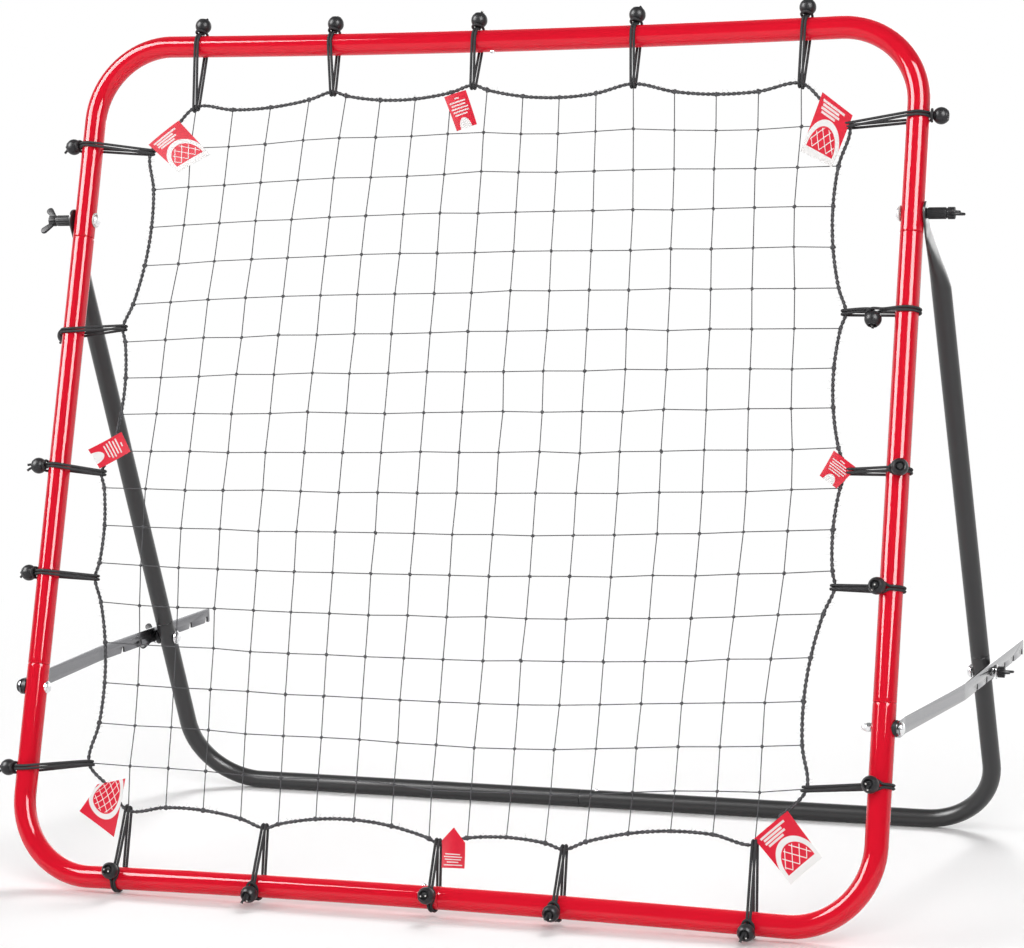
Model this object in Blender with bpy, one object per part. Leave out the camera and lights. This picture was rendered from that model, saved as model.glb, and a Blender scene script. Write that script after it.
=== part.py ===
"""Kick-back soccer rebounder: a leaning square tube frame with a net on ball bungees,
folding rear legs and two notched angle bars. Metres, +Z up, front of the net towards -Y."""

import math

import bmesh
import bpy
import numpy as np
from mathutils import Matrix, Vector

# Front frame
FRAME_WIDTH = 1.000            # outside to outside
FRAME_HEIGHT = 0.9886          # outside to outside, measured up the lean
FRAME_LEAN = math.radians(16.36)
TUBE_D = 0.025
TUBE_WALL = 0.0012
CORNER_R = 0.088               # centreline radius of a bent corner
SPLICE_BOW = 0.004             # how far the net draws in the top and bottom tubes
SPIGOT_LENGTH = 0.040
SPLICE_OFF = 0.020             # top splice left of the middle, bottom splice right of it

# Rear legs
LEG_TUBE_D = 0.022
LEG_TUBE_WALL = 0.0012
LEG_CORNER_R = 0.085
FOOT_BACK = 0.5582             # foot tube behind the bottom tube, centre to centre
LEG_TOP_OUT = 0.0097           # leg tube's centreline outside the posts' face, at the pivots
LEG_FOOT_OUT = 0.0206          # and at the foot
FLAT_WIDTH = 0.026
FLAT_THICK = 0.0028
FLAT_LENGTH = 0.034
FLARE_LENGTH = 0.068

# Pivots and seams
LEG_PIVOT_DOWN = 0.2083        # below the top tube's centreline, down the lean
BAR_PIVOT_UP = 0.2089          # above the bottom tube's centreline, up the lean
LEG_BOLT_UP = 0.2193           # above the foot tube's centreline, up the leg
SEAM_UNDER_LEG_PIVOT = 0.0213
SEAM_OVER_BAR_PIVOT = 0.0257
SEAM_OVER_LEG_BOLT = 0.0245
BOLT_D = 0.006
HOLE_CLEAR = 0.0003
SEAT = 0.0003                  # running gap between pieces that touch
SADDLE_SEAT = 0.0009           # gap of a faceted saddle over its tube

# Notched angle bars
BAR_HEIGHT = 0.018
BAR_THICK = 0.0025
BAR_END = 0.0092               # last notch's middle to the rear tip
BAR_NOSE = 0.0095              # bar pivot to the front tip
NOTCH_COUNT = 6
NOTCH_IN_USE = 3
NOTCH_PITCH = 0.052
NOTCH_DEPTH = 0.0078
NOTCH_WIDTH = 0.0066
NOTCH_FLARE = 0.0034           # the mouth opens this much towards the pivot
BAR_SET_1 = 0.022              # the bar's two bends, measured from its pivot
BAR_SET_2 = 0.235
BAR_SADDLE_T = 0.0019          # thinnest part of the saddle between post and bar
LEG_SADDLE_T = 0.0012
LEG_BAR_CLEAR = 0.0008         # running gap of the bar over the leg's saddle
BAR_SPLAY = 0.0280             # outward run of the bar's rear length per metre

# Net and ball bungees
NET_CELLS = 17
TWINE_D = 0.0019
ROPE_D = 0.0046
ROPE_TENSION = 5.0             # of the border rope, for each unit in the twine
CORD_D = 0.003
CORD_PITCH = 0.0040            # between the two strands at the tube
HOOK_PITCH = 0.0062            # between the two loops on the border rope
BALL_D = 0.0186
BALL_LIFT = 0.0105             # ball centre above the cord's line round the tube
CUP_D = 0.0112
CUP_DEPTH = 0.0050

TUBE_SIDES = 12
LEG_SIDES = 10
CORD_SIDES = 4
BALL_SIDES = 8
BEND_STEPS = 5
WRAP_STEP = math.radians(50)

# Where the bungees stand along each side: share of the straight half run, slide of the
# ball along the tube, distance of the hook from the tube's centreline, place of the ball
# round the tube in degrees from outward towards the front, net cell line. A last value
# rolls a ball that has slid off the tube about its strands.
TOP_BUNGEES = (
    (-0.900, -0.001, 0.0735, 0, 1), (-0.475, -0.004, 0.0590, 0, 4),
    (-0.050, 0.001, 0.0550, 0, 8), (0.420, -0.001, 0.0580, 0, 12),
    (0.895, 0.002, 0.0620, 0, 16))
BOTTOM_BUNGEES = (
    (-0.895, -0.004, 0.0760, 112, 1), (-0.478, -0.002, 0.0660, 66, 4),
    (0.030, 0.000, 0.0620, 92, 9), (0.385, -0.002, 0.0640, 72, 12),
    (0.901, 0.002, 0.0820, 66, 16))
LEFT_BUNGEES = (
    (-0.903, -0.010, 0.0755, 0, 1), (-0.370, 0.003, 0.0595, 0, 5),
    (-0.063, 0.006, 0.0545, 10, 8), (0.369, -0.006, 0.0625, -40, 12),
    (0.900, 0.008, 0.0755, 0, 16))
RIGHT_BUNGEES = (
    (-0.863, 0.007, 0.0765, 105, 1), (-0.327, 0.000, 0.0595, 125, 5),
    (-0.015, 0.002, 0.0555, 75, 8), (0.420, 0.002, 0.0655, 225, 12, -80),
    (0.943, 0.009, 0.0735, 0, 16))

# Hardware
HEAD_D = 0.0140
HEAD_T = 0.0042
WASHER_D = 0.0170
WASHER_T = 0.0013
SLEEVE_D = 0.0126
SLEEVE_LENGTH = 0.0210
WING_NUT_D = 0.0130
WING_NUT_LENGTH = 0.0085
WING_LENGTH = 0.0160
WING_WIDTH = 0.0085
WING_THICK = 0.0032
SADDLE_D = 0.0180
WING_TURNS = {"left": math.radians(20), "right": math.radians(100)}   # of the wings, at rest
CAP_NUT_D = 0.0150
CAP_NUT_T = 0.0055
ACORN_NUT_D = 0.0105
ACORN_NUT_T = 0.0105
BUTTON_D = 0.0060
BUTTON_PROUD = 0.0018
BUTTON_FROM_SPLICE = 0.020

# Derived places
UP = Vector((0, math.sin(FRAME_LEAN), math.cos(FRAME_LEAN)))
FRONT = Vector((0, -math.cos(FRAME_LEAN), math.sin(FRAME_LEAN)))
RIGHT = Vector((1, 0, 0))
TUBE_R = TUBE_D / 2
LEG_R = LEG_TUBE_D / 2
CORD_R = CORD_D / 2
HALF_W = FRAME_WIDTH / 2 - TUBE_R
TOP_S = FRAME_HEIGHT - TUBE_D
MID_S = TOP_S / 2
TUBE_REST_Z = CORD_D + 2 * SEAT + TUBE_R    # the bottom tube stands on its bungees
POST_FACE = FRAME_WIDTH / 2


def on_frame(x, s, n=0.0):
    """Point x across, s up the lean and n in front of the frame's centre plane."""
    return Vector((x, 0, TUBE_REST_Z)) + UP * s + FRONT * n


LEG_PIVOT_UP = TOP_S - LEG_PIVOT_DOWN
UPPER_SEAM = LEG_PIVOT_UP - SEAM_UNDER_LEG_PIVOT
LOWER_SEAM = BAR_PIVOT_UP + SEAM_OVER_BAR_PIVOT
LEG_PIVOT = on_frame(0, LEG_PIVOT_UP)
BAR_PIVOT = on_frame(0, BAR_PIVOT_UP)
FOOT_Z = LEG_R * math.cos(math.pi / LEG_SIDES)
FOOT = Vector((0, FOOT_BACK, FOOT_Z))
LEG_LENGTH = (FOOT - LEG_PIVOT).length
LEG_DOWN = (FOOT - LEG_PIVOT).normalized()
LEG_TOP_X = POST_FACE + LEG_TOP_OUT
LEG_SPLAY = (LEG_FOOT_OUT - LEG_TOP_OUT) / LEG_LENGTH
LEG_BOLT_DOWN = LEG_LENGTH - LEG_BOLT_UP
LEG_BOLT = LEG_PIVOT + LEG_DOWN * LEG_BOLT_DOWN
LEG_BOLT_X = LEG_TOP_X + LEG_SPLAY * LEG_BOLT_DOWN
LEG_SEAM = LEG_BOLT_DOWN - SEAM_OVER_LEG_BOLT
NOTCH_REACH = (LEG_BOLT - BAR_PIVOT).length


# Materials

def material(name, color, roughness, metallic=0.0, coat=0.0):
    mat = bpy.data.materials.new(name)
    mat.use_nodes = True
    shader = mat.node_tree.nodes["Principled BSDF"]
    shader.inputs["Base Color"].default_value = (*color, 1)
    shader.inputs["Roughness"].default_value = roughness
    shader.inputs["Metallic"].default_value = metallic
    shader.inputs["Coat Weight"].default_value = coat
    mat.diffuse_color = (*color, 1)
    return mat


def link(name, mesh, mat, smooth=35):
    obj = bpy.data.objects.new(name, mesh)
    bpy.context.scene.collection.objects.link(obj)
    mesh.materials.append(mat)
    if smooth:
        mesh.shade_smooth()
        mesh.set_sharp_from_angle(angle=math.radians(smooth))
    return obj


def mesh_from(bm, name):
    bmesh.ops.recalc_face_normals(bm, faces=bm.faces[:])
    mesh = bpy.data.meshes.new(name)
    bm.to_mesh(mesh)
    bm.free()
    return mesh


def bridge(bm, rings, closed=False):
    """Skin a run of equal rings; an open run gets a cap at each end."""
    loops = [[bm.verts.new(p) for p in ring] for ring in rings]
    count = len(loops[0])
    pairs = list(zip(loops, loops[1:]))
    if closed:
        pairs.append((loops[-1], loops[0]))
    for a, b in pairs:
        for k in range(count):
            m = (k + 1) % count
            bm.faces.new((a[k], a[m], b[m], b[k]))
    if not closed:
        bm.faces.new(loops[0])
        bm.faces.new(loops[-1])


def sweep(points, radius, sides):
    """Closed mitred tube along a polyline."""
    points = [Vector(p) for p in points]
    dirs = [(b - a).normalized() for a, b in zip(points, points[1:])]
    side = dirs[0].orthogonal().normalized()
    rings = []
    for i, p in enumerate(points):
        d_in = dirs[max(i - 1, 0)]
        d_out = dirs[min(i, len(dirs) - 1)]
        tangent = (d_in + d_out).normalized()
        other = d_in.cross(side)
        ring = []
        for k in range(sides):
            a = 2 * math.pi * (k + 0.5) / sides
            off = (side * math.cos(a) + other * math.sin(a)) * radius
            off = off - d_in * (off.dot(tangent) / d_in.dot(tangent))
            ring.append(p + off)
        rings.append(ring)
        side = d_in.rotation_difference(d_out) @ side
    bm = bmesh.new()
    bridge(bm, rings)
    return bm


def turned(profile, origin, axis, sides, turn=0.0):
    """Solid of revolution; the profile is (radius, distance along the axis) pairs."""
    axis = Vector(axis).normalized()
    ref = UP if abs(axis.dot(UP)) < 0.9 else FRONT
    u = (ref - axis * ref.dot(axis)).normalized()
    v = axis.cross(u)
    bm = bmesh.new()
    loops = []
    for r, z in profile:
        c = Vector(origin) + axis * z
        if r < 1e-7:
            loops.append([bm.verts.new(c)])
            continue
        angles = [turn + 2 * math.pi * k / sides for k in range(sides)]
        loops.append([bm.verts.new(c + (u * math.cos(a) + v * math.sin(a)) * r) for a in angles])
    for a, b in zip(loops, loops[1:]):
        for k in range(sides):
            m = (k + 1) % sides
            if len(a) == 1:
                bm.faces.new((a[0], b[m], b[k]))
            elif len(b) == 1:
                bm.faces.new((a[k], a[m], b[0]))
            else:
                bm.faces.new((a[k], a[m], b[m], b[k]))
    for loop in (loops[0], loops[-1]):
        if len(loop) > 1:
            bm.faces.new(loop)
    return bm


def boolean(obj, other, operation):
    """Live Boolean with a guide that stays out of the finished model."""
    other.hide_render = True
    other.display_type = "WIRE"
    mod = obj.modifiers.new(operation.title(), "BOOLEAN")
    mod.operation = operation
    mod.solver = "EXACT"
    mod.object = other


def guide(name, bm):
    obj = bpy.data.objects.new(name, mesh_from(bm, name))
    bpy.context.scene.collection.objects.link(obj)
    return obj


def drill(obj, centre, axis, diameter, length):
    """Round hole through a wall, centred on a point."""
    reach = length / 2
    bm = turned([(diameter / 2, -reach), (diameter / 2, reach)], centre, axis, 8)
    boolean(obj, guide(obj.name + "_drill", bm), "DIFFERENCE")


# Bent and swaged tubes

class Route:
    """Planar centreline through corner points, with arcs at the corners."""

    def __init__(self, corners, radius, normal):
        self.normal = normal
        pts = [corners[0]]
        for a, b, c in zip(corners, corners[1:], corners[2:]):
            if radius is None:
                pts.append(b)
                continue
            d_in, d_out = (b - a).normalized(), (c - b).normalized()
            turn = d_in.angle(d_out)
            start = b - d_in * radius * math.tan(turn / 2)
            centre = start + (d_out - d_in * d_out.dot(d_in)).normalized() * radius
            spin_axis = d_in.cross(d_out).normalized()
            for k in range(BEND_STEPS + 1):
                rot = Matrix.Rotation(turn * k / BEND_STEPS, 3, spin_axis)
                pts.append(centre + rot @ (start - centre))
        pts.append(corners[-1])
        self.pts = pts
        self.at = [0.0]
        for a, b in zip(pts, pts[1:]):
            self.at.append(self.at[-1] + (b - a).length)
        self.length = self.at[-1]

    def stops(self, start, end):
        """Distances of the bends between two places, with both places themselves."""
        inner = [d for d in self.at if start + 1e-4 < d < end - 1e-4]
        return [start] + inner + [end]

    def ring(self, dist, radius, sides, turn):
        i = max(k for k, d in enumerate(self.at[:-1]) if d <= dist + 1e-7)
        seg = (self.pts[i + 1] - self.pts[i]).normalized()
        centre = self.pts[i] + seg * (dist - self.at[i])
        tangent = seg
        if i > 0 and abs(dist - self.at[i]) < 1e-6:
            tangent = (seg + (self.pts[i] - self.pts[i - 1]).normalized()).normalized()
        flat = self.normal.cross(tangent)
        flat_scale = 1 / tangent.dot(seg)
        ring = []
        for k in range(sides):
            a = turn + 2 * math.pi * k / sides
            off = self.normal * math.cos(a) + flat * (math.sin(a) * flat_scale)
            ring.append(centre + off * radius)
        return ring


def swaged_tube(route, radius, wall, spigots, sides=TUBE_SIDES, turn=0.0):
    """Open tube along a route. A spigot end is drawn down to slip into its neighbour;
    spigots holds the length of the one at the start and at the end, 0 for none."""
    small = radius - wall - HOLE_CLEAR
    step = wall + 0.002
    first, last = spigots
    outer, inner = [], []
    lo, hi = first, route.length - last
    if first:
        outer += [(0.0, small), (first, small)]
        inner += [(0.0, small - wall), (first + step, small - wall)]
    outer += [(d, radius) for d in route.stops(lo, hi)]
    inner += [(d, radius - wall) for d in route.stops(lo + (step + 1e-3 if first else 0),
                                                      hi - (step + 1e-3 if last else 0))]
    if last:
        outer += [(hi, small), (route.length, small)]
        inner += [(hi - step, small - wall), (route.length, small - wall)]
    bm = bmesh.new()
    bridge(bm, [route.ring(d, r, sides, turn) for d, r in outer + inner[::-1]], closed=True)
    return bm


def bowed(x, s0, toward):
    """Height up the lean of the top or bottom tube's centreline at x."""
    run = HALF_W - CORNER_R
    share = min(abs(x) / run, 1.0)
    return s0 + toward * SPLICE_BOW * (1 - share * share)


def corner_tube(name, side, s0, toward, seam, spigot_mid, mat):
    """One bent quarter of the front frame, from the splice to the side seam. Quarters that
    stand across from each other are the same piece, turned half round."""
    run = HALF_W - CORNER_R
    stops = (toward * SPLICE_OFF, side * run * 0.5)
    corners = [on_frame(x, bowed(x, s0, toward)) for x in stops]
    if spigot_mid:
        corners[0] = corners[0] - RIGHT * side * (SPIGOT_LENGTH - SEAT / 2)
    else:
        corners[0] = corners[0] + RIGHT * side * (SEAT / 2)
    bend = Route([on_frame(side * run, s0), on_frame(side * HALF_W, s0),
                  on_frame(side * HALF_W, seam)], CORNER_R, FRONT)
    seat = UP * toward
    end = on_frame(side * HALF_W, seam) + seat * (SPIGOT_LENGTH - SEAT / 2)
    line = corners + bend.pts[1:-1] + [end]
    route = Route(line, None, FRONT)
    spigots = (SPIGOT_LENGTH if spigot_mid else 0, SPIGOT_LENGTH)
    bm = swaged_tube(route, TUBE_R, TUBE_WALL, spigots)
    return link(name, mesh_from(bm, name), mat)


def side_tube(name, side, mat):
    gap = SEAT / 2
    route = Route([on_frame(side * HALF_W, LOWER_SEAM + gap),
                   on_frame(side * HALF_W, UPPER_SEAM - gap)], None, FRONT)
    bm = swaged_tube(route, TUBE_R, TUBE_WALL, (0, 0))
    return link(name, mesh_from(bm, name), mat)


def leg_point(side, down):
    return Vector((side * (LEG_TOP_X + LEG_SPLAY * down), 0, 0)) + LEG_PIVOT + LEG_DOWN * down


LEG_NORMAL = RIGHT.cross(LEG_DOWN).normalized()


def floor_turn(side):
    """Turn of the leg tube's facets that lays one flat on the floor."""
    along = -RIGHT * side
    flat = LEG_NORMAL.cross(along)
    down = Vector((0, 0, -1))
    return math.atan2(down.dot(flat), down.dot(LEG_NORMAL)) + math.pi / LEG_SIDES


def leg_lower(name, side, mat):
    """L-shaped lower half of the rear frame with a spigot up into the upper leg."""
    start = leg_point(side, LEG_SEAM - SPIGOT_LENGTH + SEAT / 2)
    foot = leg_point(side, LEG_LENGTH)
    mid = Vector((0, foot.y, foot.z))
    spigot_mid = SPIGOT_LENGTH if side < 0 else 0
    end = mid - RIGHT * (side * (spigot_mid - SEAT / 2))
    route = Route([start, foot, end], LEG_CORNER_R, LEG_NORMAL)
    spigots = (SPIGOT_LENGTH, spigot_mid)
    bm = swaged_tube(route, LEG_R, LEG_TUBE_WALL, spigots, LEG_SIDES, floor_turn(side))
    obj = link(name, mesh_from(bm, name), mat)
    drill(obj, leg_point(side, LEG_BOLT_DOWN), RIGHT, BOLT_D + 2 * HOLE_CLEAR, LEG_TUBE_D * 1.5)
    return obj


def leg_upper(name, side, mat):
    """Straight tube whose top is pressed flat, with a round nose, against the post."""
    turn = floor_turn(side)
    along = (leg_point(side, 1.0) - leg_point(side, 0.0)).normalized()
    flat = LEG_NORMAL.cross(along)
    sides = LEG_SIDES

    def ring(down, half_w, half_t, x):
        centre = LEG_PIVOT + LEG_DOWN * down + RIGHT * (side * x)
        pts = []
        for k in range(sides):
            a = turn + 2 * math.pi * k / sides
            c, s = math.cos(a), math.sin(a)
            if half_w > half_t * 1.2:
                c = math.copysign(min(1.0, abs(c) ** 0.7), c)
                s = math.copysign(min(1.0, abs(s) ** 0.5), s)
            pts.append(centre + LEG_NORMAL * (c * half_w) + flat * (s * half_t))
        return pts

    def round_ring(down, radius):
        return ring(down, radius, radius, LEG_TOP_X + LEG_SPLAY * down)

    flat_x = POST_FACE + SEAT + FLAT_THICK / 2
    flat_w = FLAT_WIDTH / 2
    flat_end = FLAT_LENGTH - flat_w
    seam = LEG_SEAM - SEAT / 2
    flare = flat_end + FLARE_LENGTH
    rings = [ring(-flat_w, flat_w * 0.30, FLAT_THICK / 2, flat_x),
             ring(-flat_w * 0.72, flat_w * 0.72, FLAT_THICK / 2, flat_x),
             ring(0.0, flat_w, FLAT_THICK / 2, flat_x),
             ring(flat_end, flat_w, FLAT_THICK / 2, flat_x)]
    flat_in = POST_FACE + SEAT
    tube_in = LEG_TOP_X + LEG_SPLAY * flare - LEG_R
    for share in (0.33, 0.67):
        half_t = FLAT_THICK / 2 + (LEG_R - FLAT_THICK / 2) * share
        inner = flat_in + (tube_in - flat_in) * share * share
        rings.append(ring(flat_end + FLARE_LENGTH * share, flat_w + (LEG_R - flat_w) * share,
                          half_t, inner + half_t))
    rings += [round_ring(flare, LEG_R), round_ring(seam, LEG_R)]
    bore = LEG_R - LEG_TUBE_WALL
    rings += [round_ring(seam, bore), round_ring(flare, bore)]
    bm = bmesh.new()
    bridge(bm, rings)
    obj = link(name, mesh_from(bm, name), mat)
    hole = Vector((side * flat_x, LEG_PIVOT.y, LEG_PIVOT.z))
    drill(obj, hole, RIGHT, BOLT_D + 2 * HOLE_CLEAR, FLAT_THICK * 3)
    return obj


# Notched angle bars

BAR_HALF = BAR_HEIGHT / 2
BOLT_BELOW = BAR_HALF - NOTCH_DEPTH + BOLT_D / 2 + HOLE_CLEAR   # bolt under the bar's middle
NOTCH_ALONG = math.sqrt(NOTCH_REACH ** 2 - BOLT_BELOW ** 2)


def bar_axes():
    """Directions along the bar and up across it, with the bolt seated in its notch."""
    to_bolt = (LEG_BOLT - BAR_PIVOT).normalized()
    lift = math.asin(BOLT_BELOW / NOTCH_REACH)
    along = Matrix.Rotation(lift, 3, "X") @ to_bolt
    return along, RIGHT.cross(along)


BAR_ALONG, BAR_ACROSS = bar_axes()


def bar_x(along):
    """Distance of the bar's middle from the frame's middle plane, at a place along it."""
    at_post = POST_FACE + SADDLE_SEAT + BAR_SADDLE_T + SEAT + BAR_THICK / 2
    at_leg = LEG_BOLT_X + LEG_R + SADDLE_SEAT + LEG_SADDLE_T + LEG_BAR_CLEAR + BAR_THICK / 2
    at_bend = at_leg - (NOTCH_ALONG - BAR_SET_2) * BAR_SPLAY
    if along <= BAR_SET_1:
        return at_post
    if along <= BAR_SET_2:
        return at_post + (at_bend - at_post) * (along - BAR_SET_1) / (BAR_SET_2 - BAR_SET_1)
    return at_bend + (along - BAR_SET_2) * BAR_SPLAY


def bar_outline():
    """Side outline of the bar, counter-clockwise, as (along, across) pairs."""
    pts = []
    for k in range(5):
        a = math.radians(90 + 45 * k)
        pts.append((-BAR_NOSE + BAR_HALF + BAR_HALF * math.cos(a), BAR_HALF * math.sin(a)))
    pts += [(BAR_SET_1, -BAR_HALF), (BAR_SET_2, -BAR_HALF)]
    half = NOTCH_WIDTH / 2
    roof = -BAR_HALF + NOTCH_DEPTH
    shoulder = roof - half
    for i in range(NOTCH_COUNT):
        c = NOTCH_ALONG + (i + 1 - NOTCH_IN_USE) * NOTCH_PITCH
        pts += [(c - half - NOTCH_FLARE, -BAR_HALF), (c - half, shoulder)]
        pts += [(c - half, shoulder + half * 0.4), (c - half * 0.4, roof)]
        pts += [(c + half * 0.4, roof), (c + half, shoulder + half * 0.4), (c + half, -BAR_HALF)]
    tip = NOTCH_ALONG + (NOTCH_COUNT - NOTCH_IN_USE) * NOTCH_PITCH + BAR_END
    cut = BAR_HEIGHT * 0.12
    pts += [(tip - cut * 0.3, -BAR_HALF), (tip, -BAR_HALF + cut), (tip, BAR_HALF - cut),
            (tip - cut, BAR_HALF)]
    pts += [(BAR_SET_2, BAR_HALF), (BAR_SET_1, BAR_HALF)]
    return pts


def angle_bar(name, side, mat):
    outline = bar_outline()

    def place(along, across, out):
        x = side * (bar_x(along) + out)
        return Vector((x, BAR_PIVOT.y, BAR_PIVOT.z)) + BAR_ALONG * along + BAR_ACROSS * across

    bm = bmesh.new()
    near = [bm.verts.new(place(a, h, -BAR_THICK / 2)) for a, h in outline]
    far = [bm.verts.new(place(a, h, BAR_THICK / 2)) for a, h in outline]
    count = len(outline)
    for k in range(count):
        m = (k + 1) % count
        bm.faces.new((near[k], near[m], far[m], far[k]))
    cuts = [[k for k, p in enumerate(outline) if abs(p[0] - at) < 1e-9]
            for at in (BAR_SET_1, BAR_SET_2)]
    for loop in (near, far):
        faces = [bm.faces.new(loop)]
        for pair in cuts:
            for face in faces:
                if loop[pair[0]] in face.verts and loop[pair[1]] in face.verts:
                    new_face, _ = bmesh.utils.face_split(face, loop[pair[0]], loop[pair[1]])
                    faces.append(new_face)
                    break
    obj = link(name, mesh_from(bm, name), mat, smooth=0)
    hole = Vector((side * bar_x(0), BAR_PIVOT.y, BAR_PIVOT.z))
    drill(obj, hole, RIGHT, BOLT_D + 2 * HOLE_CLEAR, BAR_THICK * 3)
    return obj


# Net

def hook_table():
    """Hook places in the frame's plane, with what each bungee needs."""
    run_x, run_s = HALF_W - CORNER_R, MID_S - CORNER_R
    last = NET_CELLS
    rows = []
    for side, table in (("top", TOP_BUNGEES), ("right", RIGHT_BUNGEES),
                        ("bottom", BOTTOM_BUNGEES), ("left", LEFT_BUNGEES)):
        for number, (share, slide, inset, around, line, *roll) in enumerate(table, 1):
            if side in ("top", "bottom"):
                s0, toward = (TOP_S, -1) if side == "top" else (0.0, 1)
                x = share * run_x
                tube = (x, bowed(x, s0, toward))
                hook = (x, s0 + toward * inset)
                node = (line, last if side == "top" else 0)
                out = -toward * UP
                along = RIGHT
            else:
                sign = 1 if side == "right" else -1
                s = MID_S + share * run_s
                tube = (sign * HALF_W, s)
                hook = (sign * (HALF_W - inset), s)
                node = (last if side == "right" else 0, line)
                out = RIGHT * sign
                along = UP
            rows.append(dict(name=f"ball_bungee_{side}_{number}", tube=tube, hook=hook,
                             node=node, out=out, along=along, slide=slide, around=around,
                             roll=math.radians(sum(roll))))
    return rows


HOOKS = hook_table()


def net_places():
    """Knot places by the balance of cord forces, with the hooked border knots held."""
    n = NET_CELLS + 1
    fixed = {row["node"]: row["hook"] for row in HOOKS}
    size = n * n
    pull = np.zeros((size, size))
    load = np.zeros((size, 2))
    for i in range(n):
        for j in range(n):
            here = i * n + j
            if (i, j) in fixed:
                pull[here, here] = 1.0
                load[here] = fixed[(i, j)]
                continue
            for di, dj in ((1, 0), (-1, 0), (0, 1), (0, -1)):
                a, b = i + di, j + dj
                if not (0 <= a < n and 0 <= b < n):
                    continue
                on_rope = (i == a and i in (0, n - 1)) or (j == b and j in (0, n - 1))
                q = ROPE_TENSION if on_rope else 1.0
                pull[here, here] += q
                pull[here, a * n + b] -= q
    spots = np.linalg.solve(pull, load)
    return spots.reshape(n, n, 2)


NET_SPOTS = net_places()


def border_walk():
    """Border knots in order round the net, starting at the lower left corner."""
    n = NET_CELLS
    walk = [(i, 0) for i in range(n)] + [(n, j) for j in range(n)]
    walk += [(i, n) for i in range(n, 0, -1)] + [(0, j) for j in range(n, 0, -1)]
    return walk


def flat_dir(a, b):
    d = np.array(b) - np.array(a)
    return d / np.linalg.norm(d)


def net_mesh(name):
    """Twine lattice of diamond section, tied into a rope round the border."""
    n = NET_CELLS
    half, rope = TWINE_D / 2, ROPE_D / 2
    bm = bmesh.new()

    def vert(p, depth):
        return bm.verts.new(on_frame(float(p[0]), float(p[1]), depth))

    knots = {}
    for i in range(1, n):
        for j in range(1, n):
            p = NET_SPOTS[i, j]
            ex = flat_dir(NET_SPOTS[i - 1, j], NET_SPOTS[i + 1, j])
            es = flat_dir(NET_SPOTS[i, j - 1], NET_SPOTS[i, j + 1])
            shear = max(abs(ex[0] * es[1] - ex[1] * es[0]), 0.5)
            ex, es = ex * half / shear, es * half / shear
            knots[i, j] = dict(front=vert(p, half), back=vert(p, -half),
                               ne=vert(p + ex + es, 0), nw=vert(p - ex + es, 0),
                               se=vert(p + ex - es, 0), sw=vert(p - ex - es, 0))
    walk = border_walk()
    count = len(walk)
    rim = []
    for k, (i, j) in enumerate(walk):
        p = NET_SPOTS[i, j]
        before = NET_SPOTS[walk[k - 1]]
        after = NET_SPOTS[walk[(k + 1) % count]]
        d_in, d_out = flat_dir(before, p), flat_dir(p, after)
        t = flat_dir((0, 0), d_in + d_out)
        inward = np.array((-t[1], t[0])) / max(t.dot(d_in), 0.6)
        spot = dict(front=vert(p, rope), back=vert(p, -rope), out=vert(p - inward * rope, 0))
        if (i in (0, n)) and (j in (0, n)):
            spot["prev"] = spot["next"] = vert(p + inward * rope, 0)
        else:
            knot = NET_SPOTS[min(max(i, 1), n - 1), min(max(j, 1), n - 1)]
            aim = flat_dir(p, knot)
            aim = aim / max(aim.dot(inward) / inward.dot(inward), 0.6)
            root = p + aim * rope
            spot["prev"] = vert(root - t * half, 0)
            spot["next"] = vert(root + t * half, 0)
            spot["tie_front"] = vert(p + aim * (rope - half), half)
            spot["tie_back"] = vert(p + aim * (rope - half), -half)
        rim.append(spot)

    def strand(front_a, back_a, lo_a, hi_a, front_b, back_b, lo_b, hi_b):
        for a, b, c, d in ((front_a, front_b, hi_b, hi_a), (hi_a, hi_b, back_b, back_a),
                           (back_a, back_b, lo_b, lo_a), (lo_a, lo_b, front_b, front_a)):
            bm.faces.new((a, b, c, d))

    for i in range(1, n):
        for j in range(1, n):
            a = knots[i, j]
            if i + 1 < n:
                b = knots[i + 1, j]
                strand(a["front"], a["back"], a["se"], a["ne"],
                       b["front"], b["back"], b["sw"], b["nw"])
            if j + 1 < n:
                b = knots[i, j + 1]
                strand(a["front"], a["back"], a["nw"], a["ne"],
                       b["front"], b["back"], b["sw"], b["se"])
    ends = {"s": ("sw", "se"), "e": ("se", "ne"), "n": ("ne", "nw"), "w": ("nw", "sw")}
    for k, (i, j) in enumerate(walk):
        spot = rim[k]
        if "tie_front" in spot:
            face = "s" if j == 0 else "n" if j == n else "w" if i == 0 else "e"
            inner = knots[min(max(i, 1), n - 1), min(max(j, 1), n - 1)]
            first, second = ends[face]
            if face == "w":
                first, second = "nw", "sw"
            strand(spot["tie_front"], spot["tie_back"], spot["prev"], spot["next"],
                   inner["front"], inner["back"], inner[first], inner[second])
        nxt = rim[(k + 1) % count]
        bm.faces.new((spot["out"], nxt["out"], nxt["front"], spot["front"]))
        bm.faces.new((spot["back"], nxt["back"], nxt["out"], spot["out"]))
        for ridge, tie in (("front", "tie_front"), ("back", "tie_back")):
            loop = [spot[ridge], nxt[ridge]]
            if tie in nxt:
                loop.append(nxt[tie])
            loop += [nxt["prev"], spot["next"]]
            if tie in spot:
                loop.append(spot[tie])
            bm.faces.new(loop)
    return mesh_from(bm, name)


# Ball bungees

WRAP_R = TUBE_R + SEAT + CORD_R


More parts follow.
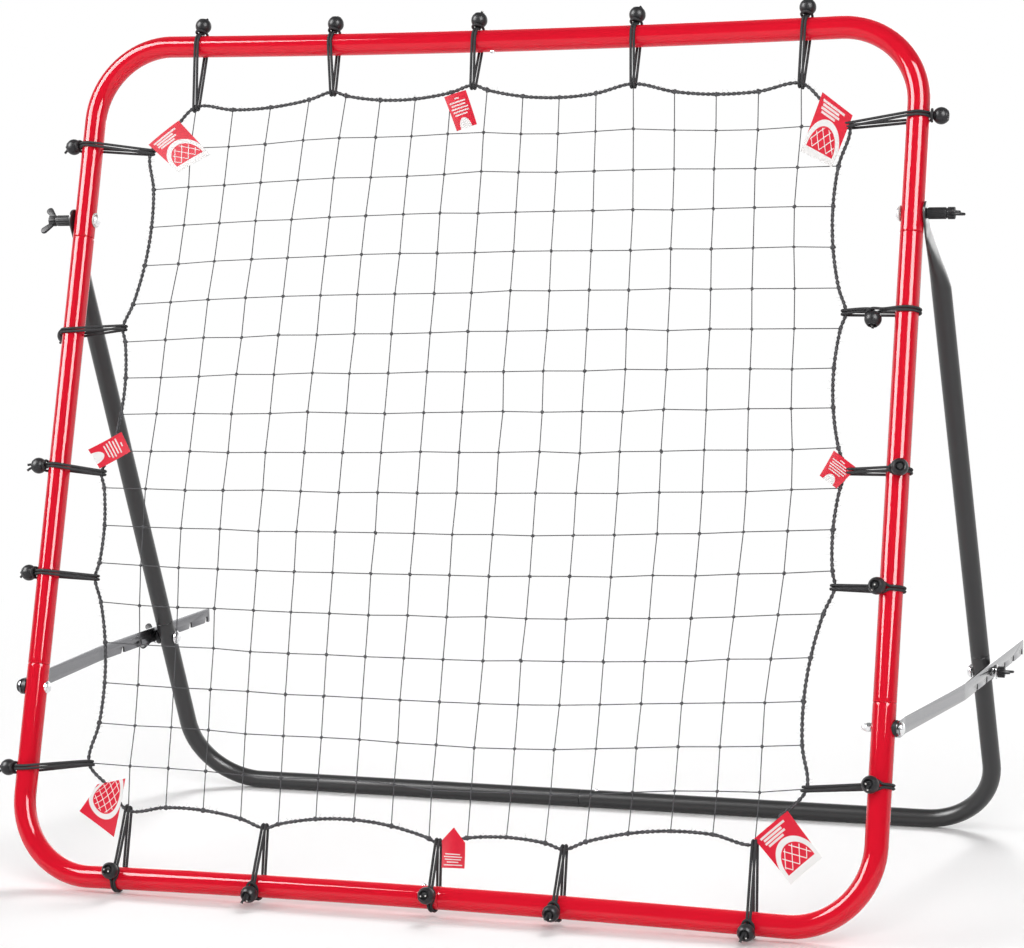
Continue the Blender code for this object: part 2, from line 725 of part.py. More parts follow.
def rope_beside(row):
    """Slope of the border rope away from the tube on both sides of a hooked knot, and
    the sideways lean of the twine that leaves it."""
    n = NET_CELLS
    i, j = row["node"]
    out, along = row["out"], row["along"]
    here = on_frame(*NET_SPOTS[i, j])
    on_flat = j in (0, n)
    slopes = {}
    for sign in (1, -1):
        beside = (i + sign, j) if on_flat else (i, j + sign)
        d = on_frame(*NET_SPOTS[beside]) - here
        slopes[sign] = max(-d.dot(out) / max(abs(d.dot(along)), 1e-6), 0.0)
    inner = (i, min(max(j, 1), n - 1)) if on_flat else (min(max(i, 1), n - 1), j)
    d = on_frame(*NET_SPOTS[inner]) - here
    return slopes, d.dot(along) / d.dot(out)


def bungee_points(row):
    """The cord's closed route: out of the ball, over the tube's front, round the border
    rope, back behind the tube and round its own strands under the ball."""
    tube, hook = np.array(row["tube"]), np.array(row["hook"])
    reach = float(np.linalg.norm(tube - hook))
    slopes, drift = rope_beside(row)
    lane = HOOK_PITCH / 2
    over = ROPE_D / 2 + CORD_R + 2 * SEAT
    first_hook = Vector((-reach, over))
    tilt = math.atan2(over, -reach)
    meet = tilt - math.acos(WRAP_R / first_hook.length)
    run = WRAP_R * meet

    def belt(sigma, height):
        if sigma < 0:
            u, n = belt(-sigma, height)
            return u, -n
        if sigma <= run:
            a = sigma / WRAP_R
            return (WRAP_R + height) * math.cos(a), (WRAP_R + height) * math.sin(a)
        c, s = math.cos(meet), math.sin(meet)
        far = sigma - run
        return WRAP_R * c - far * s + height * c, WRAP_R * s + far * c + height * s

    def wrap(start, end):
        """Stations on the tube between two places, both left out."""
        span = end - start
        steps = max(int(math.ceil(span / WRAP_R / WRAP_STEP)), 1)
        lift = WRAP_R * (1 / math.cos(span / WRAP_R / steps / 2) - 1)
        return [(start + span * k / steps, lift) for k in range(1, steps)], lift

    def rolled(sigma, height, across):
        c, s = math.cos(row["roll"]), math.sin(row["roll"])
        u, n = belt(sigma, height * c - across * s)
        return u, n, height * s + across * c

    home = WRAP_R * math.radians(row["around"])
    d = CORD_D
    lane_t = CORD_PITCH / 2
    strands = []
    for sign in (1, -1):
        knot = [(home, BALL_LIFT + CUP_DEPTH, sign * lane_t)]
        pts = []
        if home < run - 0.5 * d:
            mids, lift = wrap(home + 0.25 * d, run)
            knot.append((home + 0.25 * d, lift, sign * lane_t))
            pts += [(*belt(a, b), sign * lane_t) for a, b in mids + [(run, lift)]]
        else:
            knot.append((home + 0.25 * d, 0.1 * d, sign * lane_t))
        pts = [rolled(*p) for p in knot] + pts
        slope = slopes[sign]
        crest = -(reach + lane * slope)
        shadow = CORD_R * slope + ROPE_D / 2 * math.hypot(1, slope)
        dip = shadow
        for _ in range(6):
            dip = shadow + (CORD_R + SEAT) * math.hypot(dip, over) / over
        depth = lane * slope + dip
        far = sign * lane - depth * drift
        pts += [(crest, over, sign * lane), (-(reach + depth), 0.0, far),
                (crest, -over, sign * lane)]
        tail = home - 3.2 * d
        mids, lift = wrap(-run, min(tail, run))
        back = [(-run, lift)] + mids
        if tail > run:
            back.append((run, lift))
        pts += [(*belt(a, b), sign * lane_t) for a, b in back]
        bight = [(tail, lift if tail < run else 0.0, lane_t),
                 (home - 1.4 * d, 0.12 * d, 1.53 * d), (home + 0.17 * d, 0.18 * d, 1.87 * d),
                 (home + 1.7 * d, 0.85 * d, 1.77 * d)]
        strands.append(pts + [rolled(a, b, sign * c) for a, b, c in bight])
    crown = rolled(home + 2.8 * d, 1.9 * d, 0.0)
    line = strands[0] + [crown] + strands[1][::-1]
    middle = on_frame(tube[0], tube[1])

    def world(u, n, x):
        near = min(max((-u) / reach, 0.0), 1.0)
        shift = x + row["slide"] * (1 - near)
        return middle + row["out"] * u + FRONT * n + row["along"] * shift

    ball = world(*rolled(home, BALL_LIFT, 0.0))
    base = world(*rolled(home, 0.0, 0.0))
    return [world(*p) for p in line], ball, (ball - base).normalized()


def ball_profile():
    """Ball of a bungee with the cup at its outer end that hides the knot."""
    r, cup = BALL_D / 2, CUP_D / 2
    rim = math.sqrt(r * r - cup * cup)
    floor_z = rim - CUP_DEPTH
    lats = (-48, 2)
    prof = [(0.0, -r)]
    prof += [(r * math.cos(math.radians(a)), r * math.sin(math.radians(a))) for a in lats]
    prof += [(cup, rim), (cup * 0.88, floor_z), (0.0, floor_z)]
    return prof


def least_gap(points, diameter):
    """Least clear gap between stretches of a cord that aren't neighbours."""
    pts = [np.array(p) for p in points]
    fine, along = [], []
    total = 0.0
    for a, b in zip(pts, pts[1:]):
        length = np.linalg.norm(b - a)
        steps = max(int(length / 0.001), 1)
        for k in range(steps):
            fine.append(a + (b - a) * k / steps)
            along.append(total + length * k / steps)
        total += length
    fine, along = np.array(fine), np.array(along)
    best = 1.0
    for k in range(len(fine)):
        far = np.abs(along - along[k]) > 4 * diameter
        if far.any():
            best = min(best, float(np.min(np.linalg.norm(fine[far] - fine[k], axis=1))))
    return best - diameter


def ball_bungee(row, mat):
    points, ball, axis = bungee_points(row)
    name = row["name"]
    cord = guide(name + "_cord", sweep(points, CORD_R, CORD_SIDES))
    bm = turned(ball_profile(), ball, axis, BALL_SIDES, turn=math.pi / BALL_SIDES)
    obj = link(name, mesh_from(bm, name), mat, smooth=50)
    boolean(obj, cord, "UNION")
    return least_gap(points, CORD_D)


# Hardware

def bolt(name, side, inner, outer, height, mat, head_in=True, washer=True):
    """Domed bolt across the frame with its washer, from the inner to the outer face."""
    head_x, tip_x = (inner, outer) if head_in else (outer, inner)
    way = 1.0 if tip_x > head_x else -1.0
    r, hr = BOLT_D / 2, HEAD_D / 2
    plate = WASHER_T if washer else 0.0
    prof = [(0.0, -HEAD_T - plate), (hr * 0.55, -HEAD_T * 0.85 - plate),
            (hr * 0.92, -HEAD_T * 0.42 - plate), (hr, -plate)]
    if washer:
        prof += [(WASHER_D / 2, -plate), (WASHER_D / 2, 0.0)]
    else:
        prof += [(hr, 0.0)] if plate else []
    prof += [(r, 0.0), (r, abs(tip_x - head_x) - 0.001), (r * 0.8, abs(tip_x - head_x))]
    place = Vector((side * head_x, height.y, height.z))
    bm = turned(prof, place, RIGHT * (side * way), 10)
    return link(name, mesh_from(bm, name), mat, smooth=50)


def wing_outline(length, width):
    """Paddle of a wing with a round end, as (outward, along the axis) pairs."""
    r = width / 2
    pts = [(0.0, -r * 0.7), (length - r, -r)]
    pts += [(length - r + r * math.cos(a), r * math.sin(a))
            for a in (math.radians(-40), 0.0, math.radians(40))]
    pts += [(length - r, r), (0.0, r * 0.7)]
    return pts


def wing_nut(name, side, face, centre, turn, mat):
    """Plastic wing nut: ribbed hub with a blind bore and two wings swept outward."""
    axis = RIGHT * side
    hub_r = WING_NUT_D / 2
    length = WING_NUT_LENGTH
    start = Vector((side * (face + SEAT), centre.y, centre.z))
    u = (UP - axis * UP.dot(axis)).normalized()
    v = axis.cross(u)
    sides = 12

    def ring(x, radius, valley):
        pts = []
        for k in range(sides):
            a = 2 * math.pi * k / sides
            r = radius * (valley if k % 2 else 1.0)
            pts.append(start + axis * x + (u * math.cos(a) + v * math.sin(a)) * r)
        return pts

    bore = BOLT_D / 2 + HOLE_CLEAR
    rings = [ring(length, hub_r * 0.8, 1.0), ring(length - hub_r * 0.2, hub_r, 0.88),
             ring(0.0, hub_r, 0.88), ring(0.0, bore, 1.0), ring(length * 0.8, bore, 1.0)]
    bm = bmesh.new()
    bridge(bm, rings)
    obj = link(name, mesh_from(bm, name), mat, smooth=30)
    for index in (0, 1):
        a = turn + math.pi * index
        out = u * math.cos(a) + v * math.sin(a)
        across = axis.cross(out)
        sweep_dir = (out * 0.72 + axis * 0.69).normalized()
        lift = (axis * 0.72 - out * 0.69).normalized()
        inset = bore + 2 * SEAT + WING_WIDTH * 0.25
        root = start + axis * (length * 0.5) + out * inset
        wbm = bmesh.new()
        loops = []
        for z in (-WING_THICK / 2, WING_THICK / 2):
            loops.append([wbm.verts.new(root + sweep_dir * p + lift * q + across * z)
                          for p, q in wing_outline(WING_LENGTH, WING_WIDTH)])
        for k in range(len(loops[0])):
            m = (k + 1) % len(loops[0])
            wbm.faces.new((loops[0][k], loops[0][m], loops[1][m], loops[1][k]))
        wbm.faces.new(loops[0])
        wbm.faces.new(loops[1])
        boolean(obj, guide(f"{name}_wing_{index + 1}", wbm), "UNION")
    return obj


def saddle(name, side, face, centre, tube_axis, tube_r, thin, mat):
    """Round spacer hollowed on its inner side to sit on a tube."""
    axis = RIGHT * side
    r = SADDLE_D / 2
    along = Vector(tube_axis).normalized()
    across = axis.cross(along).normalized()
    bm = bmesh.new()
    sides = 12
    bore = BOLT_D / 2 + HOLE_CLEAR
    hug = tube_r + SADDLE_SEAT
    top = face + SADDLE_SEAT + thin

    def point(radius, k, on_tube):
        a = 2 * math.pi * (k + 0.5) / sides
        p, q = radius * math.cos(a), radius * math.sin(a)
        if on_tube:
            x = face - tube_r + math.sqrt(hug * hug - q * q)
        else:
            x = top
        base = Vector((side * x, centre.y, centre.z))
        return base + along * p + across * q

    rings = [[point(rad, k, on_tube) for k in range(sides)]
             for rad, on_tube in ((r, False), (r, True), (r * 0.66, True), (bore, True),
                                  (bore, False))]
    bridge(bm, rings, closed=True)
    return link(name, mesh_from(bm, name), mat, smooth=40)


def cap_nut(name, side, face, way, centre, diameter, height, mat):
    """Domed nut over the end of a bar bolt; its blind bore takes the bolt's end."""
    r = diameter / 2
    bore = BOLT_D / 2 + HOLE_CLEAR
    prof = [(0.0, height), (r * 0.6, height * 0.92), (r * 0.95, height * 0.55), (r, 0.0),
            (bore, 0.0), (bore, height * 0.65), (0.0, height * 0.65)]
    place = Vector((side * (face + way * SEAT), centre.y, centre.z))
    bm = turned(prof, place, RIGHT * (side * way), 10)
    return link(name, mesh_from(bm, name), mat, smooth=50)


def ring_piece(name, side, face, centre, diameter, thick, mat):
    """Plain washer or sleeve round a bolt."""
    r, bore = diameter / 2, BOLT_D / 2 + HOLE_CLEAR
    place = Vector((side * face, centre.y, centre.z))
    axis = RIGHT * side
    u = (UP - axis * UP.dot(axis)).normalized()
    v = axis.cross(u)
    angles = [2 * math.pi * k / 12 for k in range(12)]
    rings = [[place + axis * x + (u * math.cos(a) + v * math.sin(a)) * rad for a in angles]
             for rad, x in ((bore, 0.0), (r, 0.0), (r, thick), (bore, thick))]
    bm = bmesh.new()
    bridge(bm, rings, closed=True)
    return link(name, mesh_from(bm, name), mat, smooth=40)


def snap_button(name, surface, out, mat):
    """Spring button that locks a splice: a low dome on the tube."""
    r = BUTTON_D / 2
    prof = [(r, 0.0), (r, BUTTON_PROUD * 0.3), (r * 0.7, BUTTON_PROUD * 0.8), (0.0, BUTTON_PROUD)]
    bm = turned(prof, Vector(surface) + Vector(out) * SEAT, out, 10)
    return link(name, mesh_from(bm, name), mat, smooth=50)


def centre_on_floor():
    """Shift everything so that the origin lies under the middle of the model's box."""
    bpy.context.view_layer.update()
    deps = bpy.context.evaluated_depsgraph_get()
    low, high = Vector((9, 9, 9)), Vector((-9, -9, -9))
    for obj in bpy.data.objects:
        if obj.type != "MESH" or obj.hide_render:
            continue
        seen = obj.evaluated_get(deps)
        for v in seen.data.vertices:
            p = obj.matrix_world @ v.co
            low = Vector(map(min, low, p))
            high = Vector(map(max, high, p))
    shift = Vector((-(low.x + high.x) / 2, -(low.y + high.y) / 2, -low.z))
    return shift, low, high


def pivot_empty(name, place):
    obj = bpy.data.objects.new(name, None)
    obj.empty_display_size = 0.05
    bpy.context.scene.collection.objects.link(obj)
    obj.location = place
    return obj


def adopt(parent, children):
    """Hang pieces on the empty that stands on their joint's axis."""
    bpy.context.view_layer.update()
    for child in children:
        child.parent = parent
        child.matrix_parent_inverse = parent.matrix_world.inverted()


def build():
    for obj in list(bpy.data.objects):
        bpy.data.objects.remove(obj, do_unlink=True)

    red = material("red_powder_coat", (0.72, 0.014, 0.030), 0.22, coat=0.5)
    dark = material("dark_grey_paint", (0.052, 0.052, 0.056), 0.38)
    steel = material("zinc_plate", (0.62, 0.62, 0.66), 0.24, 1.0)
    bright = material("bright_zinc", (0.80, 0.80, 0.82), 0.20, 1.0)
    plastic = material("black_plastic", (0.018, 0.018, 0.020), 0.42)
    elastic = material("black_elastic", (0.026, 0.026, 0.028), 0.60)
    twine = material("black_twine", (0.045, 0.045, 0.048), 0.75)

    for tag, side in (("left", -1), ("right", 1)):
        corner_tube(f"front_lower_{tag}", side, 0.0, 1, LOWER_SEAM, side > 0, red)
        corner_tube(f"front_upper_{tag}", side, TOP_S, -1, UPPER_SEAM, side < 0, red)
        post = side_tube(f"front_post_{tag}", side, red)
        lower = bpy.data.objects[f"front_lower_{tag}"]
        upper = bpy.data.objects[f"front_upper_{tag}"]
        for obj, up in ((upper, LEG_PIVOT_UP), (lower, BAR_PIVOT_UP)):
            drill(obj, on_frame(side * HALF_W, up), RIGHT, BOLT_D + 2 * HOLE_CLEAR, TUBE_D * 1.5)

    net = net_mesh("rebound_net")
    link("rebound_net", net, twine, smooth=0)
    gaps = [ball_bungee(row, elastic) for row in HOOKS]
    print("least gap of a bungee cord to itself, mm:", round(min(gaps) * 1000, 2))

    for tag, side in (("left", -1), ("right", 1)):
        hinge = pivot_empty(f"leg_hinge_{tag}", Vector((side * POST_FACE, LEG_PIVOT.y, LEG_PIVOT.z)))
        bar_hinge = pivot_empty(f"bar_hinge_{tag}",
                                Vector((side * POST_FACE, BAR_PIVOT.y, BAR_PIVOT.z)))
        legs = [leg_upper(f"rear_upper_{tag}", side, dark), leg_lower(f"rear_lower_{tag}", side, dark)]
        bar = angle_bar(f"angle_bar_{tag}", side, steel)
        adopt(bar_hinge, [bar])

        flat_out = POST_FACE + SEAT + FLAT_THICK
        inner = POST_FACE - TUBE_D - SEAT
        sleeve_out = flat_out + SEAT + SLEEVE_LENGTH
        bolt(f"pivot_bolt_{tag}", side, inner, sleeve_out + WING_NUT_LENGTH * 0.7, LEG_PIVOT,
             bright)
        ring_piece(f"pivot_sleeve_{tag}", side, flat_out + SEAT, LEG_PIVOT, SLEEVE_D,
                   SLEEVE_LENGTH, plastic)
        wing_nut(f"pivot_wing_nut_{tag}", side, sleeve_out, LEG_PIVOT, WING_TURNS[tag], plastic)

        saddle(f"bar_saddle_{tag}", side, POST_FACE, BAR_PIVOT, UP, TUBE_R, BAR_SADDLE_T, plastic)
        bar_out = bar_x(0) + BAR_THICK / 2
        if side > 0:
            bolt(f"bar_bolt_{tag}", side, inner - ACORN_NUT_T * 0.5, bar_out + SEAT, BAR_PIVOT,
                 bright, head_in=False, washer=False)
            cap_nut(f"bar_nut_{tag}", side, POST_FACE - TUBE_D, -1, BAR_PIVOT,
                    ACORN_NUT_D, ACORN_NUT_T, bright)
        else:
            bolt(f"bar_bolt_{tag}", side, inner, bar_out + SEAT + CAP_NUT_T * 0.5, BAR_PIVOT,
                 bright, washer=False)
            cap_nut(f"bar_nut_{tag}", side, bar_out, 1, BAR_PIVOT, CAP_NUT_D, CAP_NUT_T, plastic)

        leg_in = LEG_BOLT_X - LEG_R - SEAT
        leg_out = LEG_BOLT_X + LEG_R
        bar_face = bar_x(NOTCH_ALONG + WASHER_D / 2) + BAR_THICK / 2 + SEAT
        nut_face = bar_face + WASHER_T
        legs.append(bolt(f"leg_bolt_{tag}", side, leg_in, nut_face + WING_NUT_LENGTH * 0.7,
                         LEG_BOLT, bright))
        legs.append(saddle(f"leg_saddle_{tag}", side, leg_out, LEG_BOLT, LEG_DOWN, LEG_R,
                           LEG_SADDLE_T, plastic))
        legs.append(ring_piece(f"leg_washer_{tag}", side, bar_face, LEG_BOLT, WASHER_D,
                               WASHER_T, bright))
        legs.append(wing_nut(f"leg_wing_nut_{tag}", side, nut_face, LEG_BOLT,
                             WING_TURNS[tag], plastic))
        adopt(hinge, legs)

    x = BUTTON_FROM_SPLICE - SPLICE_OFF
    top = on_frame(x, bowed(x, TOP_S, -1))
    bottom = on_frame(-x, bowed(x, 0.0, 1))
    snap_button("snap_button_top", top - UP * TUBE_R, -UP, bright)
    snap_button("snap_button_bottom", bottom + UP * TUBE_R, UP, bright)
    rear = Vector((BUTTON_FROM_SPLICE, FOOT_BACK, 2 * FOOT_Z))
    snap_button("snap_button_rear", rear, Vector((0, 0, 1)), bright)

    shift, low, high = centre_on_floor()
    for obj in bpy.data.objects:
        if obj.parent is None:
            obj.location = obj.location + shift
    bpy.context.view_layer.update()
    print("box", [round(v, 5) for v in (*(low + shift), *(high + shift))])
    for label, p in (("leg pivot", LEG_PIVOT), ("bar pivot", BAR_PIVOT), ("leg bolt", LEG_BOLT)):
        print(label, [round(v, 6) for v in (p + shift)])
    print("shift", [round(v, 6) for v in shift])


build()
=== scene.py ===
"""Kick-back soccer rebounder: the finished look of a leaning tube frame with a net on ball
bungees, folding rear legs and two notched angle bars. Metres, +Z up, front towards -Y."""

import math
from functools import cache

import bmesh
import bpy
import numpy as np
from mathutils import Matrix, Vector

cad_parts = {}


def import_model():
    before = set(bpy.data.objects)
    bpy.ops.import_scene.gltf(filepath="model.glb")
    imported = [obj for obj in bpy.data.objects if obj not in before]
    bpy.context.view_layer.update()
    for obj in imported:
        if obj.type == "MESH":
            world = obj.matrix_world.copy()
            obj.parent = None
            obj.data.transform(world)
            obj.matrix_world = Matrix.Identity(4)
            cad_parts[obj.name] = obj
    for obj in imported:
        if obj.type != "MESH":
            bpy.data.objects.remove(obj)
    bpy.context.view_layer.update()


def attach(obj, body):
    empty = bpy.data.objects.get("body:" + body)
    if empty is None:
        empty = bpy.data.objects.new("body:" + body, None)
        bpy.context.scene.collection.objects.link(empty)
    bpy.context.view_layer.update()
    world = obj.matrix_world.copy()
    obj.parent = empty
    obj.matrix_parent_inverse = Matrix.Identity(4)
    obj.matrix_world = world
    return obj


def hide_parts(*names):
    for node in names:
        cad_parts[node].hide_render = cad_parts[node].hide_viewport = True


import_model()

bl_info = {
    "name": "Soccer Rebounder",
    "version": (1, 0, 0),
    "blender": (4, 5, 0),
    "location": "View3D > Sidebar > Rebounder",
    "description": "Builds a folding soccer rebounder with its net, bungees and hardware",
    "category": "Object",
}

# Sizes shared with the solid model
FLOOR_GAP = 0.00006
SHIFT = Vector((0.0, -0.298653, FLOOR_GAP))
LEAN = math.radians(16.36)
FRAME_WIDTH = 1.000
TUBE_R = 0.0125
CORNER_R = 0.088
SPLICE_BOW = 0.004
SPLICE_OFF = 0.020             # top splice left of the middle, bottom splice right of it
HALF_W = FRAME_WIDTH / 2 - TUBE_R
POST_FACE = FRAME_WIDTH / 2
TOP_S = 0.9636
MID_S = TOP_S / 2
TUBE_REST_Z = 0.0161
LEG_PIVOT_UP = 0.7553
BAR_PIVOT_UP = 0.2089
UPPER_SEAM = 0.7340
LOWER_SEAM = 0.2346
SEAT = 0.0003
PLUG_LENGTH = 0.012            # of the drawn-down end that slides into the next tube
FRAME_PLUG = 0.88              # its radius as a share of the tube's
LEG_PLUG = 0.86
# Rounded rim of a tube: distance from its end, share of the radius there
TUBE_RIM = ((0.0, 0.955), (0.00012, 0.975), (0.0004, 0.993), (0.0009, 1.0), (0.004, 1.0))

LEG_TUBE_R = 0.011
LEG_R = 0.0108                 # of the finished round tube, inside the solid's facets
LEG_CORNER_R = 0.085
LEG_TOP_OUT = 0.0097
LEG_FOOT_OUT = 0.0206
FLAT_WIDTH = 0.026
FLAT_THICK = 0.0028
FLAT_LENGTH = 0.034
FLARE_LENGTH = 0.068
FOOT = SHIFT + Vector((0.0, 0.5582, 0.01046))
LEG_BOLT_UP = 0.2193
LEG_SEAM_OVER_BOLT = 0.0245

BAR_HALF = 0.009
BAR_THICK = 0.0025
BAR_END = 0.0092
BAR_NOSE = 0.0095
NOTCH_COUNT = 6
NOTCH_IN_USE = 3
NOTCH_PITCH = 0.052
NOTCH_DEPTH = 0.0078
NOTCH_WIDTH = 0.0066
NOTCH_FLARE = 0.0034
BAR_SET_1 = 0.022
BAR_SET_2 = 0.235
BAR_SPLAY = 0.0280
SOFT_BEND = 0.004              # reach of the bar's rounded bends on each side of a bend
SADDLE_SEAT = 0.0009
BAR_SADDLE_T = 0.0019
LEG_SADDLE_T = 0.0012
LEG_BAR_CLEAR = 0.0008

BOLT_R = 0.003
BAR_HOLE_R = BOLT_R + 0.00015
THREAD_PITCH = 0.001
HEAD_R = 0.0070
HEAD_T = 0.0042
WASHER_R = 0.0085
WASHER_T = 0.0013
SLEEVE_R = 0.0063
SLEEVE_LENGTH = 0.0210
NUT_R = 0.0065
NUT_LENGTH = 0.0085
WING_LENGTH = 0.0160
WING_WIDTH = 0.0085
WING_THICK = 0.0032
SADDLE_R = 0.0090
CAP_R = 0.0075
CAP_T = 0.0055
ACORN_R = 0.0052
ACORN_T = 0.0105
WING_TURNS = {"left": math.radians(20), "right": math.radians(100)}
BUTTON_R = 0.0030
BUTTON_PROUD = 0.0018
BUTTON_FROM_SPLICE = 0.020

BALL_R = 0.0093
BALL_LIFT = 0.0105
CUP_R = 0.0056
CUP_DEPTH = 0.0050
CORD_R = 0.0015
CORD_PITCH = 0.0034
HOOK_PITCH = 0.0038
WRAP_R = TUBE_R + SEAT + CORD_R
ROPE_LAY = 0.0115              # length of one turn of the border rope's strands
TABLE_CELLS = 18               # cells along each side that the bungees' table counts in
SIDES = (("left", -1), ("right", 1))

RIGHT = Vector((1, 0, 0))
UP = Vector((0, math.sin(LEAN), math.cos(LEAN)))
FRONT = Vector((0, -math.cos(LEAN), math.sin(LEAN)))


def on_frame(x, s, n=0.0):
    """Point x across, s up the lean and n in front of the frame's centre plane."""
    return SHIFT + Vector((x, 0, TUBE_REST_Z)) + UP * s + FRONT * n


LEG_PIVOT = on_frame(0, LEG_PIVOT_UP)
BAR_PIVOT = on_frame(0, BAR_PIVOT_UP)
LEG_LENGTH = (FOOT - LEG_PIVOT).length
LEG_DOWN = (FOOT - LEG_PIVOT).normalized()
LEG_NORMAL = RIGHT.cross(LEG_DOWN).normalized()
LEG_TOP_X = POST_FACE + LEG_TOP_OUT
LEG_SPLAY = (LEG_FOOT_OUT - LEG_TOP_OUT) / LEG_LENGTH
LEG_BOLT_DOWN = LEG_LENGTH - LEG_BOLT_UP
LEG_BOLT = LEG_PIVOT + LEG_DOWN * LEG_BOLT_DOWN
LEG_BOLT_X = LEG_TOP_X + LEG_SPLAY * LEG_BOLT_DOWN
LEG_SEAM = LEG_BOLT_DOWN - LEG_SEAM_OVER_BOLT
NOTCH_REACH = (LEG_BOLT - BAR_PIVOT).length
BOLT_BELOW = BAR_HALF - NOTCH_DEPTH + BOLT_R + SEAT
NOTCH_ALONG = math.sqrt(NOTCH_REACH ** 2 - BOLT_BELOW ** 2)
BAR_ALONG = (Matrix.Rotation(math.asin(BOLT_BELOW / NOTCH_REACH), 3, "X")
             @ (LEG_BOLT - BAR_PIVOT).normalized())
BAR_ACROSS = RIGHT.cross(BAR_ALONG)
BAR_TIP = NOTCH_ALONG + (NOTCH_COUNT - NOTCH_IN_USE) * NOTCH_PITCH + BAR_END

# Bungees of each side: share of the straight half run, slide of the ball along the tube,
# distance of the hook from the tube, place of the ball round the tube in degrees and place
# along the net's side in cells; where they differ from 0 and 1, also the roll of a slid ball
# in degrees and the length of the knot's tails as a share.
BUNGEES = {
    "top": ((-0.900, -0.001, 0.0735, 0, 1.0), (-0.475, -0.004, 0.0590, 0, 4.6),
            (-0.050, 0.001, 0.0550, 0, 8.6), (0.420, -0.001, 0.0580, 0, 12.9),
            (0.895, 0.002, 0.0620, 0, 17.1)),
    "bottom": ((-0.895, -0.004, 0.0760, 112, 1.0), (-0.478, -0.002, 0.0660, 66, 4.65),
               (0.030, 0.000, 0.0620, 92, 9.25), (0.385, -0.002, 0.0640, 72, 12.5),
               (0.901, 0.002, 0.0820, 66, 17.0)),
    "left": ((-0.903, -0.010, 0.0755, 0, 0.9), (-0.370, 0.003, 0.0595, 0, 5.6),
             (-0.063, 0.006, 0.0545, 10, 8.4), (0.369, -0.006, 0.0625, -40, 12.4),
             (0.900, 0.008, 0.0755, 0, 17.0)),
    "right": ((-0.863, 0.007, 0.0765, 105, 0.9), (-0.327, 0.000, 0.0595, 125, 5.6),
              (-0.015, 0.002, 0.0555, 75, 8.4, 0, 0.3),
              (0.420, 0.002, 0.0655, 225, 12.4, -80, 0.5),
              (0.943, 0.009, 0.0735, 0, 17.0, 0, 0.6)),
}


# Properties

def length_of(name, description, default):
    """A length in metres for the panel."""
    return bpy.props.FloatProperty(name=name, description=description, default=default,
                                   unit="LENGTH", precision=4)


def colour_of(name, description, default):
    """A colour for the panel."""
    return bpy.props.FloatVectorProperty(name=name, description=description, default=default,
                                         subtype="COLOR", size=3, min=0, max=1)


class RebounderSizes(bpy.types.PropertyGroup):
    tube_sides: bpy.props.IntProperty(
        name="Tube Sides", description="Facets round a tube", default=48, min=12, max=96)
    net_cells: bpy.props.IntProperty(
        name="Net Cells", description="Mesh openings along each side of the net",
        default=18, min=6, max=30)
    twine: length_of("Twine", "Diameter of the net's twine", 0.0012)
    rope: length_of("Border Rope", "Diameter of the rope round the net", 0.0044)
    rope_tension: bpy.props.FloatProperty(
        name="Rope Tension", description="Pull of the border rope for each unit in the twine",
        default=7.0)
    knot: length_of("Knot", "Size of a knot where two twines cross", 0.0043)


class RebounderColours(bpy.types.PropertyGroup):
    frame_paint: colour_of("Frame Paint", "Powder coat of the front frame",
                           (0.745, 0.008, 0.026))
    leg_paint: colour_of("Leg Paint", "Paint of the rear legs", (0.027, 0.027, 0.028))
    cord: colour_of("Cord", "Elastic cord, rope and twine", (0.034, 0.034, 0.036))
    plastic: colour_of("Plastic", "Balls, nuts and sleeves", (0.022, 0.022, 0.024))
    tag_red: colour_of("Tag Red", "Printed part of the hang tags", (0.74, 0.010, 0.036))


# Node trees

class Graph:
    """Adds nodes to one tree: settings first, then the sockets' values or links. A node
    in place of a value stands for its first output."""

    def __init__(self, tree):
        self.tree = tree

    def plug(self, socket, value):
        if isinstance(value, bpy.types.Node):
            value = value.outputs[0]
        elif isinstance(value, Num):
            value = value.socket
        if isinstance(value, bpy.types.NodeSocket):
            self.tree.links.new(value, socket)
        else:
            socket.default_value = (*value, 1) if socket.type == "RGBA" else value

    def node(self, kind, settings=None, sockets=None):
        made = self.tree.nodes.new(kind)
        for key, value in (settings or {}).items():
            setattr(made, key, value)
        for key, value in (sockets or {}).items():
            self.plug(made.inputs[key], value)
        return made

    def number(self, kind, settings=None, sockets=None, output=0):
        """One output of a new node, ready for sums."""
        return Num(self, self.node(kind, settings, sockets).outputs[output])

    def math(self, operation, *values):
        return self.number("ShaderNodeMath", {"operation": operation}, dict(enumerate(values)))

    def axes(self, vector):
        """The three numbers of a vector."""
        return [Num(self, part)
                for part in self.node("ShaderNodeSeparateXYZ", None, {0: vector}).outputs]

    def mix(self, factor, a, b):
        made = self.node("ShaderNodeMix", {"data_type": "RGBA"}, {0: factor})
        for socket, value in zip([s for s in made.inputs if s.type == "RGBA"], (a, b)):
            self.plug(socket, value)
        return [s for s in made.outputs if s.type == "RGBA"][0]


class Num:
    """A socket that takes part in Python sums."""

    def __init__(self, graph, socket):
        self.graph = graph
        self.socket = socket

    def __add__(self, other):
        return self.graph.math("ADD", self, other)

    def __mul__(self, other):
        return self.graph.math("MULTIPLY", self, other)

    def __sub__(self, other):
        return self.graph.math("SUBTRACT", self, other)

    def __rsub__(self, other):
        return self.graph.math("SUBTRACT", other, self)

    def over(self, edge, soft):
        """1 above the edge, 0 below it, with a soft step."""
        return self.graph.number("ShaderNodeMapRange", {"interpolation_type": "SMOOTHSTEP"},
                                 {"Value": self, "From Min": edge - soft,
                                  "From Max": edge + soft})

    def sin(self):
        return self.graph.math("SINE", self)


